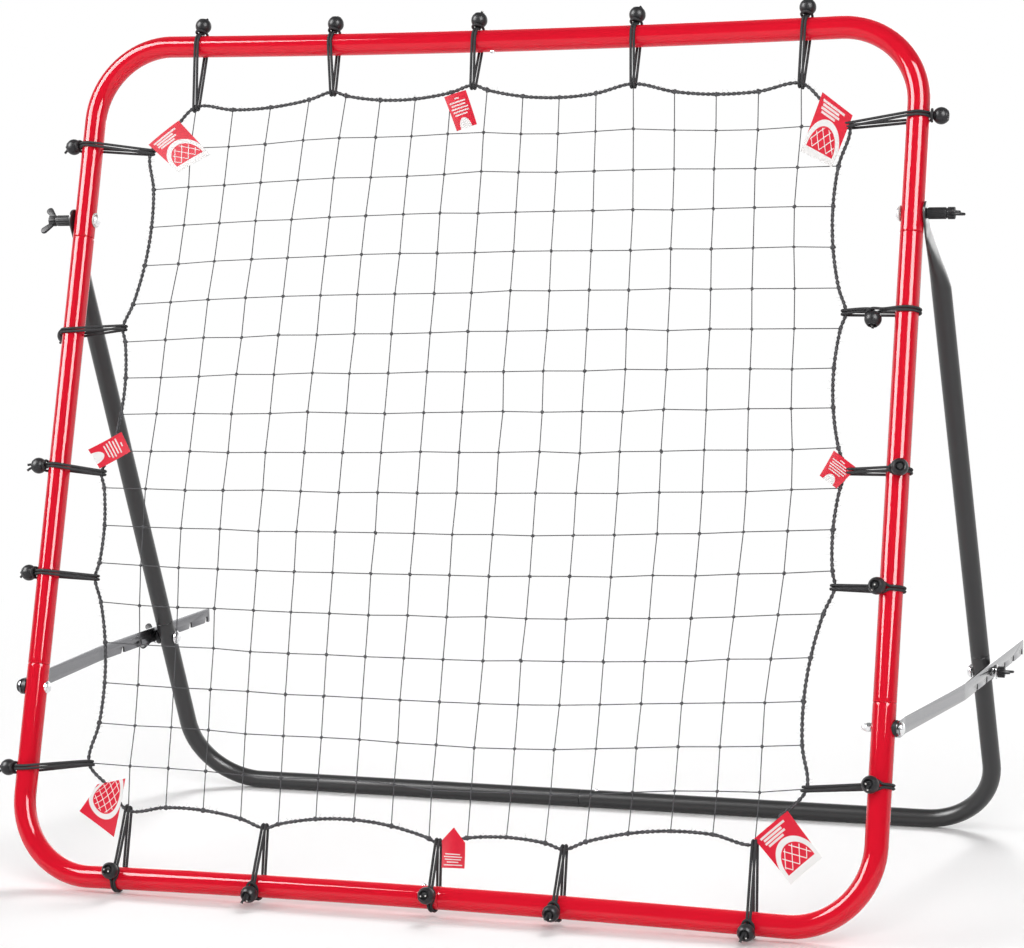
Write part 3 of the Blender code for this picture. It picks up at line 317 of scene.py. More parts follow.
class Finish(Graph):
    """One material: a Principled shader with what its surface needs."""

    def __init__(self, name, **sockets):
        self.material = bpy.data.materials.new(name)
        self.material.use_nodes = True
        super().__init__(self.material.node_tree)
        self.shader = self.tree.nodes["Principled BSDF"]
        self.set(**sockets)

    def set(self, **sockets):
        for key, value in sockets.items():
            self.plug(self.shader.inputs[key.replace("_", " ")], value)

    def place(self):
        return self.node("ShaderNodeTexCoord").outputs["Object"]

    def noise(self, scale, detail, rough=0.5, stretch=None):
        at = self.place()
        if stretch:
            at = self.node("ShaderNodeMapping", None, {"Vector": at, "Scale": stretch})
        return self.number("ShaderNodeTexNoise", None, {"Vector": at, "Scale": scale,
                                                        "Detail": detail, "Roughness": rough})

    def attribute(self, name, output):
        return self.number("ShaderNodeAttribute", {"attribute_name": name}, output=output)

    def bump(self, height, distance, strength=1.0):
        self.set(Normal=self.node("ShaderNodeBump", None, {
            "Height": height, "Distance": distance, "Strength": strength}))

    def uneven(self, colour, share, low, high, gloss, spread, roughness):
        """Colour between two tints by one number, roughness round a middle by another."""
        self.set(Base_Color=self.mix(share, tint(colour, low), tint(colour, high)),
                 Roughness=gloss * spread + (roughness - spread / 2))

    def lay(self, strands, pitch):
        """Turn round a cord and way along it, for strands that climb by the pitch."""
        x, y, _ = self.axes(self.attribute("turn", "Vector"))
        along = self.attribute("along", "Fac") * (2 * math.pi / pitch)
        return self.math("ARCTAN2", y, x) * strands, along * strands


def tint(colour, amount):
    return tuple(max(0.0, min(1.0, c * amount)) for c in colour)


def powder_coat(name, colour, roughness, coat, specular, grain, coat_ior=1.4,
                glossy_above=None):
    """Smooth gloss paint with a faint orange peel and slightly uneven gloss. Paint on metal
    that was pressed flat lies smoother: above that height it is glossy, with dull creases."""
    f = Finish(name, Coat_Weight=coat, Coat_Roughness=0.04, Coat_IOR=coat_ior,
               Specular_IOR_Level=specular)
    drift = f.noise(7.0, 3.0)
    f.uneven(colour, drift, 0.93, 1.07, drift, 0.08, roughness)
    if glossy_above:
        creases = f.noise(150, 3.0, 0.6, stretch=(1, 1, 0.4)).over(0.47, 0.12) * 0.4 + 0.18
        height = f.axes(f.place())[2]
        f.set(Coat_Weight=height.over(glossy_above, 0.022) * creases + coat)
    f.bump(f.noise(900, 2.0), grain, 0.5)
    return f.material


def zinc(name, colour, roughness, streak=True):
    """Bright plated steel with fine rolling streaks and clouded spangle."""
    f = Finish(name, Metallic=1.0)
    cloud = f.noise(120, 4.0, 0.6)
    line = f.noise(60, 3.0, 0.6, stretch=(1, 1, 26)) if streak else cloud
    f.uneven(colour, cloud, 0.95, 1.05, line, 0.08, roughness)
    f.bump(line, 0.00002, 0.4)
    return f.material


def moulded(name, colour, roughness, grain=500):
    """Moulded plastic with a fine satin grain."""
    f = Finish(name, Specular_IOR_Level=0.28)
    grains = f.noise(grain, 3.0)
    f.uneven(colour, f.noise(40, 2.0), 0.8, 1.35, grains, 0.16, roughness)
    f.bump(grains, 0.00012, 0.5)
    return f.material


def braided(name, colour, strands, pitch, depth):
    """Round braid: helices of yarn run both ways over a cord's own length and turn."""
    f = Finish(name, Specular_IOR_Level=0.15)
    turn, along = f.lay(strands, pitch)
    yarn = f.math("MAXIMUM", (turn + along).sin(), (turn - along).sin()) * 0.5 + 0.5
    fuzz = f.noise(1500, 2.0)
    # Colour lighter on the yarns' crests and darker in the grooves between them: painted light and
    # shade, mixed with random fuzz tone
    f.uneven(colour, yarn * 0.7 + fuzz * 0.3, 0.55, 1.6, fuzz, 0.2, 0.72)
    f.bump(yarn + fuzz * 0.5, depth)
    return f.material


def twisted(name, colour, pitch, depth, crest_light_and_fleck=1.7):
    """Laid twine: fine fibres that follow the lay, with loose fuzz."""
    f = Finish(name, Specular_IOR_Level=0.12)
    turn, along = f.lay(3.0, pitch)
    ply = (turn + along).sin() * 0.5 + 0.5
    fuzz = f.noise(900, 3.0, 0.7)
    # Colour lighter on the plies' crests and darker in the grooves between them, painted light and
    # shade, mixed half and half with random fuzz tone whose brightest spots give pale flecks
    f.uneven(colour, ply * 0.5 + fuzz * 0.5, 0.5, crest_light_and_fleck, fuzz, 0.2, 0.78)
    f.bump(ply * 0.6 + fuzz, depth)
    return f.material


@cache
def finishes():
    """The rebounder's materials, made once from the panel's colours."""
    c = bpy.context.scene.rebounder_colours
    return dict(
        red=powder_coat("red_gloss_powder_coat", c.frame_paint, 0.42, 1.0, 0.0, 0.00003),
        dark=powder_coat("black_leg_paint", c.leg_paint, 0.36, 0.03, 0.45, 0.00005, 1.7, 0.684),
        # The bars share one zinc in two copies: the left one darker, painted shade, the right one
        # lighter, painted light
        bar_left=zinc("zinc_plated_bar_left", (0.17, 0.17, 0.18), 0.20),
        bar_right=zinc("zinc_plated_bar_right", (0.31, 0.31, 0.32), 0.18),
        # Notch walls: near-black as painted shade inside the notches, and duller than the zinc
        cut=moulded("punched_steel_edge", (0.030, 0.030, 0.032), 0.6),
        bright=zinc("bright_zinc_hardware", (0.84, 0.84, 0.85), 0.26, streak=False),
        nylon=moulded("pale_nylon_washer", (0.62, 0.62, 0.60), 0.5),
        plastic=moulded("black_moulded_plastic", c.plastic, 0.40),
        ball=moulded("black_ball_plastic", c.plastic, 0.36, 800),
        cord=braided("black_elastic_braid", c.cord, 8, 0.014, 0.0002),
        core=moulded("cut_cord_core", (0.62, 0.61, 0.58), 0.8, 2500),
        rope=twisted("black_border_rope", tint(c.cord, 1.45), 0.010, 0.00045, 3.2),
        twine=twisted("black_net_twine", tint(c.cord, 2.6), 0.004, 0.00015),
    )


# Geometry trees

def geometry_tree(name, **inputs):
    """A new geometry tree with a mesh in, named inputs, a material and a mesh out."""
    group = bpy.data.node_groups.new(name, "GeometryNodeTree")

    def socket(label, kind, way="INPUT"):
        return group.interface.new_socket(label, in_out=way, socket_type="NodeSocket" + kind)

    socket("Geometry", "Geometry")
    for key, value in inputs.items():
        made = socket(key.replace("_", " "), "Int" if isinstance(value, int) else "Float")
        made.default_value = value
    socket("Material", "Material")
    socket("Geometry", "Geometry", "OUTPUT")
    g = Graph(group)
    return g, {s.name: Num(g, s) for s in g.node("NodeGroupInput").outputs if s.name}


def close_tree(g, geometry, material):
    real = g.node("GeometryNodeRealizeInstances", None, {0: geometry})
    done = g.node("GeometryNodeSetMaterial", None, {"Geometry": real, "Material": material})
    g.node("NodeGroupOutput", None, {0: done})
    return g.tree


def scaled(g, vector, amount):
    return g.node("ShaderNodeVectorMath", {"operation": "SCALE"}, {0: vector, "Scale": amount})


def scattered(g, points, body, seed, spin, grow):
    """Bodies on points, each turned and sized at random between two ends."""
    ranges = [g.node("FunctionNodeRandomValue", {"data_type": "FLOAT_VECTOR"},
                     {"Min": low, "Max": high, "Seed": seed}) for low, high in (spin, grow)]
    return g.node("GeometryNodeInstanceOnPoints", None,
                  {"Points": points, "Instance": body, "Rotation": ranges[0],
                   "Scale": ranges[1]})


def sweep_tree():
    """Skin over a path: round or lobed section, twist, uneven thickness, closed ends."""
    g, put = geometry_tree("path_sweep", Radius=0.01, Sides=12, Step=0.0, Lobe_Depth=0.0,
                           Twist=0.0, Unevenness=0.0)
    line = g.node("GeometryNodeMeshToCurve", None, {"Mesh": put["Geometry"]})
    fine = g.node("GeometryNodeResampleCurve", {"mode": "LENGTH"},
                  {"Curve": line, "Length": g.math("MAXIMUM", put["Step"], 0.0005)})
    path = g.node("GeometryNodeSwitch", {"input_type": "GEOMETRY"},
                  {"Switch": put["Step"] - 0.0004, "False": line, "True": fine})
    length = g.number("GeometryNodeSplineParameter", output="Length")
    spot = g.node("ShaderNodeCombineXYZ", None, {"X": length * 60.0})
    lump = g.number("ShaderNodeTexNoise", None, {"Vector": spot, "Scale": 6.0, "Detail": 3.0})
    thick = g.number("GeometryNodeInputNamedAttribute", {"data_type": "FLOAT"},
                     {"Name": "thick"}, "Attribute")
    tilted = g.node("GeometryNodeSetCurveTilt", None,
                    {"Curve": path, "Tilt": length * put["Twist"]})
    along = g.node("GeometryNodeStoreNamedAttribute", {"data_type": "FLOAT", "domain": "POINT"},
                   {"Geometry": tilted, "Name": "along", "Value": length})
    ring = g.node("GeometryNodeCurvePrimitiveCircle", None,
                  {"Resolution": put["Sides"], "Radius": put["Radius"]})
    turn = g.number("GeometryNodeSplineParameter", output="Factor") * (2 * math.pi)
    lobe = (g.math("COSINE", turn * 2.0) - 1.0) * put["Lobe Depth"] * 0.5 + 1.0
    section = g.node("GeometryNodeSetPosition", None, {
        "Geometry": ring, "Position": scaled(g, g.node("GeometryNodeInputPosition"), lobe)})
    way = g.node("ShaderNodeCombineXYZ", None,
                 {"X": g.math("COSINE", turn), "Y": g.math("SINE", turn)})
    marked = g.node("GeometryNodeStoreNamedAttribute",
                    {"data_type": "FLOAT_VECTOR", "domain": "POINT"},
                    {"Geometry": section, "Name": "turn", "Value": way})
    tube = g.node("GeometryNodeCurveToMesh", None,
                  {"Curve": along, "Profile Curve": marked, "Fill Caps": True,
                   "Scale": thick * ((lump - 0.5) * put["Unevenness"] + 1.0)})
    smooth = g.node("GeometryNodeSetShadeSmooth", None, {"Geometry": tube})
    return close_tree(g, smooth, put["Material"])


def knot_tree():
    """Small hard knots on the points of a mesh, each turned and sized a little apart."""
    g, put = geometry_tree("net_knots", Size=0.003, Detail=2, Seed=3)
    ball = g.node("GeometryNodeMeshIcoSphere", None,
                  {"Radius": put["Size"] * 0.5, "Subdivisions": put["Detail"]})
    lump = g.number("ShaderNodeTexNoise", None, {"Vector": g.node("GeometryNodeInputPosition"),
                                                 "Scale": 620.0, "Detail": 1.0})
    push = scaled(g, g.node("GeometryNodeInputNormal"), (lump - 0.5) * put["Size"] * 0.55)
    body = g.node("GeometryNodeSetPosition", None, {"Geometry": ball, "Offset": push})
    sets = scattered(g, put["Geometry"], body, put["Seed"], ((0.0, 0.0, 0.0), (6.28, 6.28, 6.28)),
                     ((0.85, 0.70, 0.75), (1.15, 0.95, 1.05)))
    smooth = g.node("GeometryNodeSetShadeSmooth", None, {"Geometry": sets})
    return close_tree(g, smooth, put["Material"])


def fuzz_tree():
    """Short loose fibres that stand off a path on all sides."""
    g, put = geometry_tree("loose_fibres", Radius=0.002, Gap=0.001, Length=0.003, Seed=4)
    line = g.node("GeometryNodeMeshToCurve", None, {"Mesh": put["Geometry"]})
    spots = g.node("GeometryNodeCurveToPoints", {"mode": "LENGTH"},
                   {"Curve": line, "Length": put["Gap"]})
    fibre = g.node("GeometryNodeMeshCone", None,
                   {"Vertices": 3, "Radius Top": 0.0, "Radius Bottom": 0.00011,
                    "Depth": put["Length"]})
    out = g.node("ShaderNodeCombineXYZ", None, {"Z": put["Radius"] * 0.8})
    lifted = g.node("GeometryNodeSetPosition", None, {"Geometry": fibre, "Offset": out})
    sets = scattered(g, spots, lifted, put["Seed"], ((-1.9, -1.9, -3.1), (1.9, 1.9, 3.1)),
                     ((0.7, 0.7, 0.3), (1.5, 1.5, 1.25)))
    return close_tree(g, sets, put["Material"])


def rib_tree():
    """Straight ribs round an axis: the rib that comes in is set round a circle."""
    g, put = geometry_tree("ribs_round_axis", Count=18, Radius=0.006)
    circle = g.node("GeometryNodeMeshCircle", None,
                    {"Vertices": put["Count"], "Radius": put["Radius"]})
    face = g.node("FunctionNodeAlignRotationToVector", {"axis": "X"},
                  {"Vector": g.node("GeometryNodeInputPosition")})
    sets = g.node("GeometryNodeInstanceOnPoints", None,
                  {"Points": circle, "Instance": put["Geometry"], "Rotation": face})
    return close_tree(g, sets, put["Material"])


@cache
def tree(kind):
    return {"sweep": sweep_tree, "knots": knot_tree, "ribs": rib_tree, "fuzz": fuzz_tree}[kind]()


def placed(name, data):
    """A new object in the scene."""
    obj = bpy.data.objects.new(name, data)
    bpy.context.scene.collection.objects.link(obj)
    return obj


def applied(mesh, kind, settings, inputs=()):
    """The plain mesh that one modifier makes of a mesh."""
    obj = placed("seed", mesh)
    mod = obj.modifiers.new(kind, kind)
    for key, value in settings.items():
        setattr(mod, key, value)
    for key, value in inputs:
        mod[key] = value
    bpy.context.view_layer.update()
    deps = bpy.context.evaluated_depsgraph_get()
    made = bpy.data.meshes.new_from_object(obj.evaluated_get(deps), depsgraph=deps)
    bpy.data.objects.remove(obj)
    if not made.polygons:
        raise RuntimeError(f"the {kind} modifier gave no faces")
    return made


def grown(mesh, kind, **inputs):
    """Run a geometry tree over a mesh and give back the plain mesh that it makes."""
    keys = {item.name.lower().replace(" ", "_"): item.identifier
            for item in tree(kind).interface.items_tree
            if item.item_type == "SOCKET" and item.in_out == "INPUT"}
    return applied(mesh, "NODES", {"node_group": tree(kind)},
                   [(keys[name], value) for name, value in inputs.items()])


def path_mesh(lines, closed=False):
    """Mesh of polylines for a sweep; a point is a place or a (place, thickness) pair."""
    verts, edges, thick = [], [], []
    for line in lines:
        start = len(verts)
        for p in line:
            place, size = (p[0], p[1]) if len(p) == 2 else (p, 1.0)
            verts.append(tuple(place))
            thick.append(size)
        count = len(verts) - start
        edges += [(start + k, start + k + 1) for k in range(count - 1)]
        if closed:
            edges.append((start + count - 1, start))
    mesh = bpy.data.meshes.new("path")
    mesh.from_pydata(verts, edges, [])
    mesh.attributes.new("thick", "FLOAT", "POINT").data.foreach_set("value", thick)
    return mesh


def swept(lines, radius, sides, material, closed=False, **more):
    return grown(path_mesh(lines, closed), "sweep", radius=radius, sides=sides,
                 material=material, **more)


# Mesh helpers

def smoothed(mesh, angle):
    mesh.shade_smooth()
    mesh.set_sharp_from_angle(angle=math.radians(angle))
    return mesh


def mesh_of(bm, material, smooth=40):
    bmesh.ops.remove_doubles(bm, verts=bm.verts, dist=1e-7)
    bmesh.ops.recalc_face_normals(bm, faces=bm.faces[:])
    mesh = bpy.data.meshes.new("part")
    bm.to_mesh(mesh)
    bm.free()
    mesh.materials.append(material)
    return smoothed(mesh, smooth) if smooth else mesh


def bevelled(mesh, width, segments=2, angle=35, smooth=40):
    """The mesh with its sharp edges rounded."""
    return smoothed(applied(mesh, "BEVEL", {
        "width": width, "segments": segments, "limit_method": "ANGLE",
        "angle_limit": math.radians(angle)}), smooth)


def piece(name, meshes, body, *nodes):
    """One object of these meshes at the origin, riding on a body in place of CAD nodes."""
    objs = [placed(name, mesh) for mesh in meshes]
    if len(objs) > 1:
        with bpy.context.temp_override(active_object=objs[0], object=objs[0],
                                       selected_objects=objs, selected_editable_objects=objs):
            bpy.ops.object.join()
    obj = objs[0]
    obj.name = name
    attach(obj, body)
    if nodes:
        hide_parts(*nodes)


def skin(rings, closed=False):
    """Walls between neighbouring rings, with flat ends unless the rings close."""
    bm = bmesh.new()
    loops = [[bm.verts.new(p) for p in ring] for ring in rings]
    count = len(loops[0])
    for a, b in zip(loops, loops[1:] + (loops[:1] if closed else [])):
        for k in range(count):
            m = (k + 1) % count
            bm.faces.new((a[k], a[m], b[m], b[k]))
    if not closed:
        bm.faces.new(loops[0])
        bm.faces.new(loops[-1])
    return bm


def arc(start, end, steps):
    """Cosine and sine at even steps from one angle to another, in degrees."""
    angles = [math.radians(start + (end - start) * k / steps) for k in range(steps + 1)]
    return [(math.cos(a), math.sin(a)) for a in angles]


def fillet(profile, radius):
    """Round the inner corners of a profile."""
    out = [profile[0]]
    for a, b, c in zip(profile, profile[1:], profile[2:]):
        a, b, c = Vector(a), Vector(b), Vector(c)
        before, after = a - b, c - b
        if min(before.length, after.length) < 1e-6 or before.angle(after) > math.radians(172):
            out.append(tuple(b))
            continue
        start = b + before.normalized() * min(radius, before.length * 0.45)
        end = b + after.normalized() * min(radius, after.length * 0.45)
        for t in (0, 0.25, 0.5, 0.75, 1):
            out.append(tuple(start * (1 - t) ** 2 + b * 2 * t * (1 - t) + end * t * t))
    return out + [profile[-1]]


def turned(profile, origin, axis, sides):
    """Surface of revolution from (radius, distance along the axis) pairs."""
    ref = UP if abs(axis.dot(UP)) < 0.9 else FRONT
    u = (ref - axis * ref.dot(axis)).normalized()
    v = axis.cross(u)
    bm = bmesh.new()
    loops = []
    for r, z in profile:
        ways = arc(0, 360, sides)[:-1] if r > 1e-7 else [(0.0, 0.0)]
        loops.append([bm.verts.new(origin + axis * z + (u * c + v * s) * r) for c, s in ways])
    for a, b in zip(loops, loops[1:]):
        for k in range(sides):
            m = (k + 1) % sides
            corners = dict.fromkeys((a[k % len(a)], a[m % len(a)], b[m % len(b)],
                                     b[k % len(b)]))
            if len(corners) > 2:
                bm.faces.new(tuple(corners))
    for loop in (loops[0], loops[-1]):
        if len(loop) > 1:
            bm.faces.new(loop)
    return bm


def arc_path(corners, radius):
    """Polyline through corners with round bends."""
    pts = [Vector(corners[0])]
    for a, b, c in zip(corners, corners[1:], corners[2:]):
        d_in, d_out = (b - a).normalized(), (c - b).normalized()
        turn = d_in.angle(d_out)
        start = b - d_in * radius * math.tan(turn / 2)
        centre = start + (d_out - d_in * d_out.dot(d_in)).normalized() * radius
        axis = d_in.cross(d_out).normalized()
        count = math.ceil(turn / math.radians(5))
        pts += [centre + Matrix.Rotation(turn * k / count, 3, axis) @ (start - centre)
                for k in range(count + 1)]
    return pts + [Vector(corners[-1])]


def eased(points, small, first, last):
    """Thickness along a tube: rounded rims, then a drawn-down plug beyond a seam."""
    def end(line, plug):
        a, way = line[0], (line[1] - line[0]).normalized()
        drawn = [(a - way * PLUG_LENGTH, small), (a, small)] if plug else []
        return drawn + [(a + way * d, s) for d, s in TUBE_RIM]

    return (end(points, first) + [(p, 1.0) for p in points[1:-1]]
            + end(points[::-1], last)[::-1])


def bowed(x, s0, toward):
    share = min(abs(x) / (HALF_W - CORNER_R), 1.0)
    return s0 + toward * SPLICE_BOW * (1 - share * share)


# Front frame

def corner_points(side, s0, toward, seam):
    run = HALF_W - CORNER_R
    first = toward * SPLICE_OFF + side * SEAT / 2
    stops = [first] + [side * run * k / 8 for k in range(0 if side * first < 0 else 1, 8)]
    pts = [on_frame(x, bowed(x, s0, toward)) for x in stops]
    bend = arc_path([on_frame(side * run * 0.999, s0), on_frame(side * HALF_W, s0),
                     on_frame(side * HALF_W, seam)], CORNER_R)
    end = on_frame(side * HALF_W, seam) - UP * toward * (SEAT / 2)
    return pts + bend[1:-1] + [end]


def post_points(side):
    return [on_frame(side * HALF_W, LOWER_SEAM + SEAT / 2),
            on_frame(side * HALF_W, UPPER_SEAM - SEAT / 2)]


class REBOUNDER_OT_front_frame(bpy.types.Operator):
    """Red tubes round the net: four bent corners and two straight posts"""
    bl_idname = "rebounder.front_frame"
    bl_label = "Front Frame"

    def execute(self, context):
        sides = context.scene.rebounder_sizes.tube_sides
        for tag, side in SIDES:
            parts = (("lower", corner_points(side, 0.0, 1, LOWER_SEAM), side > 0, True),
                     ("upper", corner_points(side, TOP_S, -1, UPPER_SEAM), side < 0, True),
                     ("post", post_points(side), False, False))
            for part, points, first, last in parts:
                line = eased(points, FRAME_PLUG, first, last)
                piece(f"front_{part}_{tag}_tube", [swept([line], TUBE_R, sides, finishes()["red"])],
                      "front_frame", f"front_{part}_{tag}")
        return {"FINISHED"}


# Rear legs

def leg_point(side, down):
    return Vector((side * (LEG_TOP_X + LEG_SPLAY * down), 0, 0)) + LEG_PIVOT + LEG_DOWN * down


def lower_leg_points(side):
    foot = leg_point(side, LEG_LENGTH) + Vector((0, 0, LEG_R + FLOOR_GAP - FOOT.z))
    start = leg_point(side, LEG_SEAM + SEAT / 2)
    return arc_path([start, foot, Vector((side * SEAT / 2, foot.y, foot.z))], LEG_CORNER_R)


def pressed_leg(side, sides):
    """Straight leg tube whose top is pressed flat, with a round nose, against the post."""
    along = (leg_point(side, 1.0) - leg_point(side, 0.0)).normalized()
    flat = LEG_NORMAL.cross(along)
    flat_in = POST_FACE + SEAT
    flat_x = flat_in + FLAT_THICK / 2
    half = FLAT_WIDTH / 2
    flat_end = FLAT_LENGTH - half
    flare = flat_end + FLARE_LENGTH

    def ring(down, half_w, half_t, x, square):
        centre = LEG_PIVOT + LEG_DOWN * down + RIGHT * (side * x)
        return [centre + LEG_NORMAL * (math.copysign(abs(c) ** square, c) * half_w)
                + flat * (math.copysign(abs(s) ** square, s) * half_t)
                for c, s in arc(180 / sides, 360 + 180 / sides, sides)[:-1]]

    rings = []
    for k, (c, s) in enumerate(arc(86, 0, 8)):
        edge = FLAT_THICK / 2 * (0.72, 0.9, 1.0)[min(k, 2)]
        rings.append(ring(-half * s, half * c, edge, flat_x, 0.45))
    rings += [ring(flat_end * k / 3, half, FLAT_THICK / 2, flat_x, 0.45) for k in range(1, 4)]
    tube_in = LEG_TOP_X + LEG_SPLAY * flare - LEG_R
    for k in range(1, 17):
        t = k / 16
        ease = t * 0.7 + t * t * (3 - 2 * t) * 0.3
        width = half + (LEG_R - half) * ease
        thick = FLAT_THICK / 2 + (LEG_R - FLAT_THICK / 2) * ease
        x = flat_in + (tube_in - flat_in) * t * t + thick
        rings.append(ring(flat_end + FLARE_LENGTH * t, width, thick, x, 0.45 + 0.55 * ease))
    seam = LEG_SEAM - SEAT / 2
    for down, size in ((flare + 0.006, 1.0), (seam - 0.004, 1.0), (seam - 0.0009, 1.0),
                       (seam - 0.0004, 0.993), (seam, 0.955)):
        x = LEG_TOP_X + LEG_SPLAY * down
        rings.append(ring(down, LEG_R * size, LEG_R * size, x, 1.0))
    return skin(rings)


class REBOUNDER_OT_rear_legs(bpy.types.Operator):
    """Dark leg tubes: two pressed uppers and two bent lowers that join in the foot tube"""
    bl_idname = "rebounder.rear_legs"
    bl_label = "Rear Legs"

    def execute(self, context):
        sides = context.scene.rebounder_sizes.tube_sides - 8
        dark = finishes()["dark"]
        for tag, side in SIDES:
            upper = mesh_of(pressed_leg(side, sides), dark, 50)
            piece(f"rear_upper_{tag}_tube", [upper], "rear_leg", "rear_upper_" + tag)
            line = eased(lower_leg_points(side), LEG_PLUG, True, side < 0)
            lower = swept([line], LEG_R, sides, dark)
            piece(f"rear_lower_{tag}_tube", [lower], "rear_leg", "rear_lower_" + tag)
        return {"FINISHED"}


# Angle bars

def bar_x(along):
    """Distance of the bar's middle from the frame's middle plane, at a place along it."""
    at_post = POST_FACE + SADDLE_SEAT + BAR_SADDLE_T + SEAT + BAR_THICK / 2
    at_leg = LEG_BOLT_X + LEG_TUBE_R + SADDLE_SEAT + LEG_SADDLE_T + LEG_BAR_CLEAR + BAR_THICK / 2
    at_bend = at_leg - (NOTCH_ALONG - BAR_SET_2) * BAR_SPLAY
    if along <= BAR_SET_1:
        return at_post
    if along <= BAR_SET_2:
        return at_post + (at_bend - at_post) * (along - BAR_SET_1) / (BAR_SET_2 - BAR_SET_1)
    return at_bend + (along - BAR_SET_2) * BAR_SPLAY


def soft_bar_x(along):
    """The same with its two bends rounded."""
    return sum(bar_x(along + SOFT_BEND * k / 4) for k in range(-4, 5)) / 9


def bar_outline():
    """Round nose, notches with flared mouths along the lower edge, blunt tip."""
    pts = [(-BAR_NOSE + BAR_HALF + BAR_HALF * c, BAR_HALF * s) for c, s in arc(90, 270, 16)]
    half = NOTCH_WIDTH / 2
    roof = -BAR_HALF + NOTCH_DEPTH
    for i in range(NOTCH_COUNT):
        at = NOTCH_ALONG + (i + 1 - NOTCH_IN_USE) * NOTCH_PITCH
        pts += [(at - half - NOTCH_FLARE - 0.0008, -BAR_HALF),
                (at - half - NOTCH_FLARE + 0.0004, -BAR_HALF + 0.0004),
                (at - half - 0.0003, roof - half - 0.0006)]
        pts += [(at + half * c, roof - half + half * s) for c, s in arc(180, 0, 8)]
        pts += [(at + half, -BAR_HALF + 0.0006), (at + half + 0.0006, -BAR_HALF)]
    return pts + fillet([(BAR_TIP - 0.004, -BAR_HALF), (BAR_TIP, -BAR_HALF),
                         (BAR_TIP, BAR_HALF), (BAR_TIP - 0.004, BAR_HALF)], 0.0024)


def bar_mesh(side, material, cut):
    """Plate with its notches and holes, bent outward twice; the notch walls are duller than the
    plated faces and near-black, as painted shade inside the notches."""
    bm = bmesh.new()
    hole = [(BAR_HOLE_R * c, BAR_HOLE_R * s) for c, s in arc(0, 360, 20)[:-1]]
    edges = []
    for loop in (bar_outline(), hole):
        verts = [bm.verts.new((a, h, 0)) for a, h in loop]
        edges += [bm.edges.new(pair) for pair in zip(verts, verts[1:] + verts[:1])]
    bmesh.ops.triangle_fill(bm, edges=edges, use_beauty=True)
    cuts = [at + SOFT_BEND * k / 2 for at in (BAR_SET_1, BAR_SET_2) for k in range(-2, 3)]
    for at in cuts + [0.06, 0.10, 0.14, 0.18]:
        bmesh.ops.bisect_plane(bm, geom=bm.verts[:] + bm.edges[:] + bm.faces[:],
                               plane_co=(at, 0, 0), plane_no=(1, 0, 0))
    raised = bmesh.ops.extrude_face_region(bm, geom=bm.faces[:])
    top = {g for g in raised["geom"] if isinstance(g, bmesh.types.BMVert)}
    for v in bm.verts:
        out = BAR_THICK / 2 if v in top else -BAR_THICK / 2
        v.co = (BAR_PIVOT + RIGHT * (side * (soft_bar_x(v.co.x) + out))
                + BAR_ALONG * v.co.x + BAR_ACROSS * v.co.y)
    plate = bevelled(mesh_of(bm, material, 0), 0.00028, 2, 50, 30)
    # Second slot, near-black: painted shade on the notch walls
    plate.materials.append(cut)
    for face in plate.polygons:
        high = (face.center - BAR_PIVOT).dot(BAR_ACROSS)
        far = (face.center - BAR_PIVOT).dot(BAR_ALONG)
        in_notch = -BAR_HALF + 0.0005 < high < NOTCH_DEPTH - BAR_HALF + 0.0004
        if abs(face.normal.x) < 0.9 and in_notch and 0.05 < far < BAR_TIP - 0.001:
            face.material_index = 1
    return plate


class REBOUNDER_OT_angle_bars(bpy.types.Operator):
    """Zinc-plated flat bars with six notches"""
    bl_idname = "rebounder.angle_bars"
    bl_label = "Angle Bars"

    def execute(self, context):
        f = finishes()
        for tag, side in SIDES:
            # Each side gets its own copy of the zinc: darker on the left as painted shade, lighter
            # on the right as painted light
            piece(f"angle_bar_{tag}_plate", [bar_mesh(side, f["bar_" + tag], f["cut"])],
                  "bar_" + tag, "angle_bar_" + tag)
        return {"FINISHED"}


# Net

def hook_rows():
    """Hook places in the frame's plane, with what each bungee needs."""
    rows = []
    for side, table in BUNGEES.items():
        for number, (share, slide, inset, around, cell, *rest) in enumerate(table, 1):
            roll, tails = rest or (0, 1.0)
            if side in ("top", "bottom"):
                s0, toward = (TOP_S, -1) if side == "top" else (0.0, 1)
                x = share * (HALF_W - CORNER_R)
                tube, hook = (x, bowed(x, s0, toward)), (x, s0 + toward * inset)
                out, along = -toward * UP, RIGHT
            else:
                sign = 1 if side == "right" else -1
                s = MID_S + share * (MID_S - CORNER_R)
                tube, hook = (sign * HALF_W, s), (sign * (HALF_W - inset), s)
                out, along = RIGHT * sign, UP
            rows.append(dict(name=f"ball_bungee_{side}_{number}", side=side, tube=tube,
                             hook=hook, cell=cell, out=out, along=along, slide=slide,
                             around=around, roll=math.radians(roll), tails=tails))
    return rows


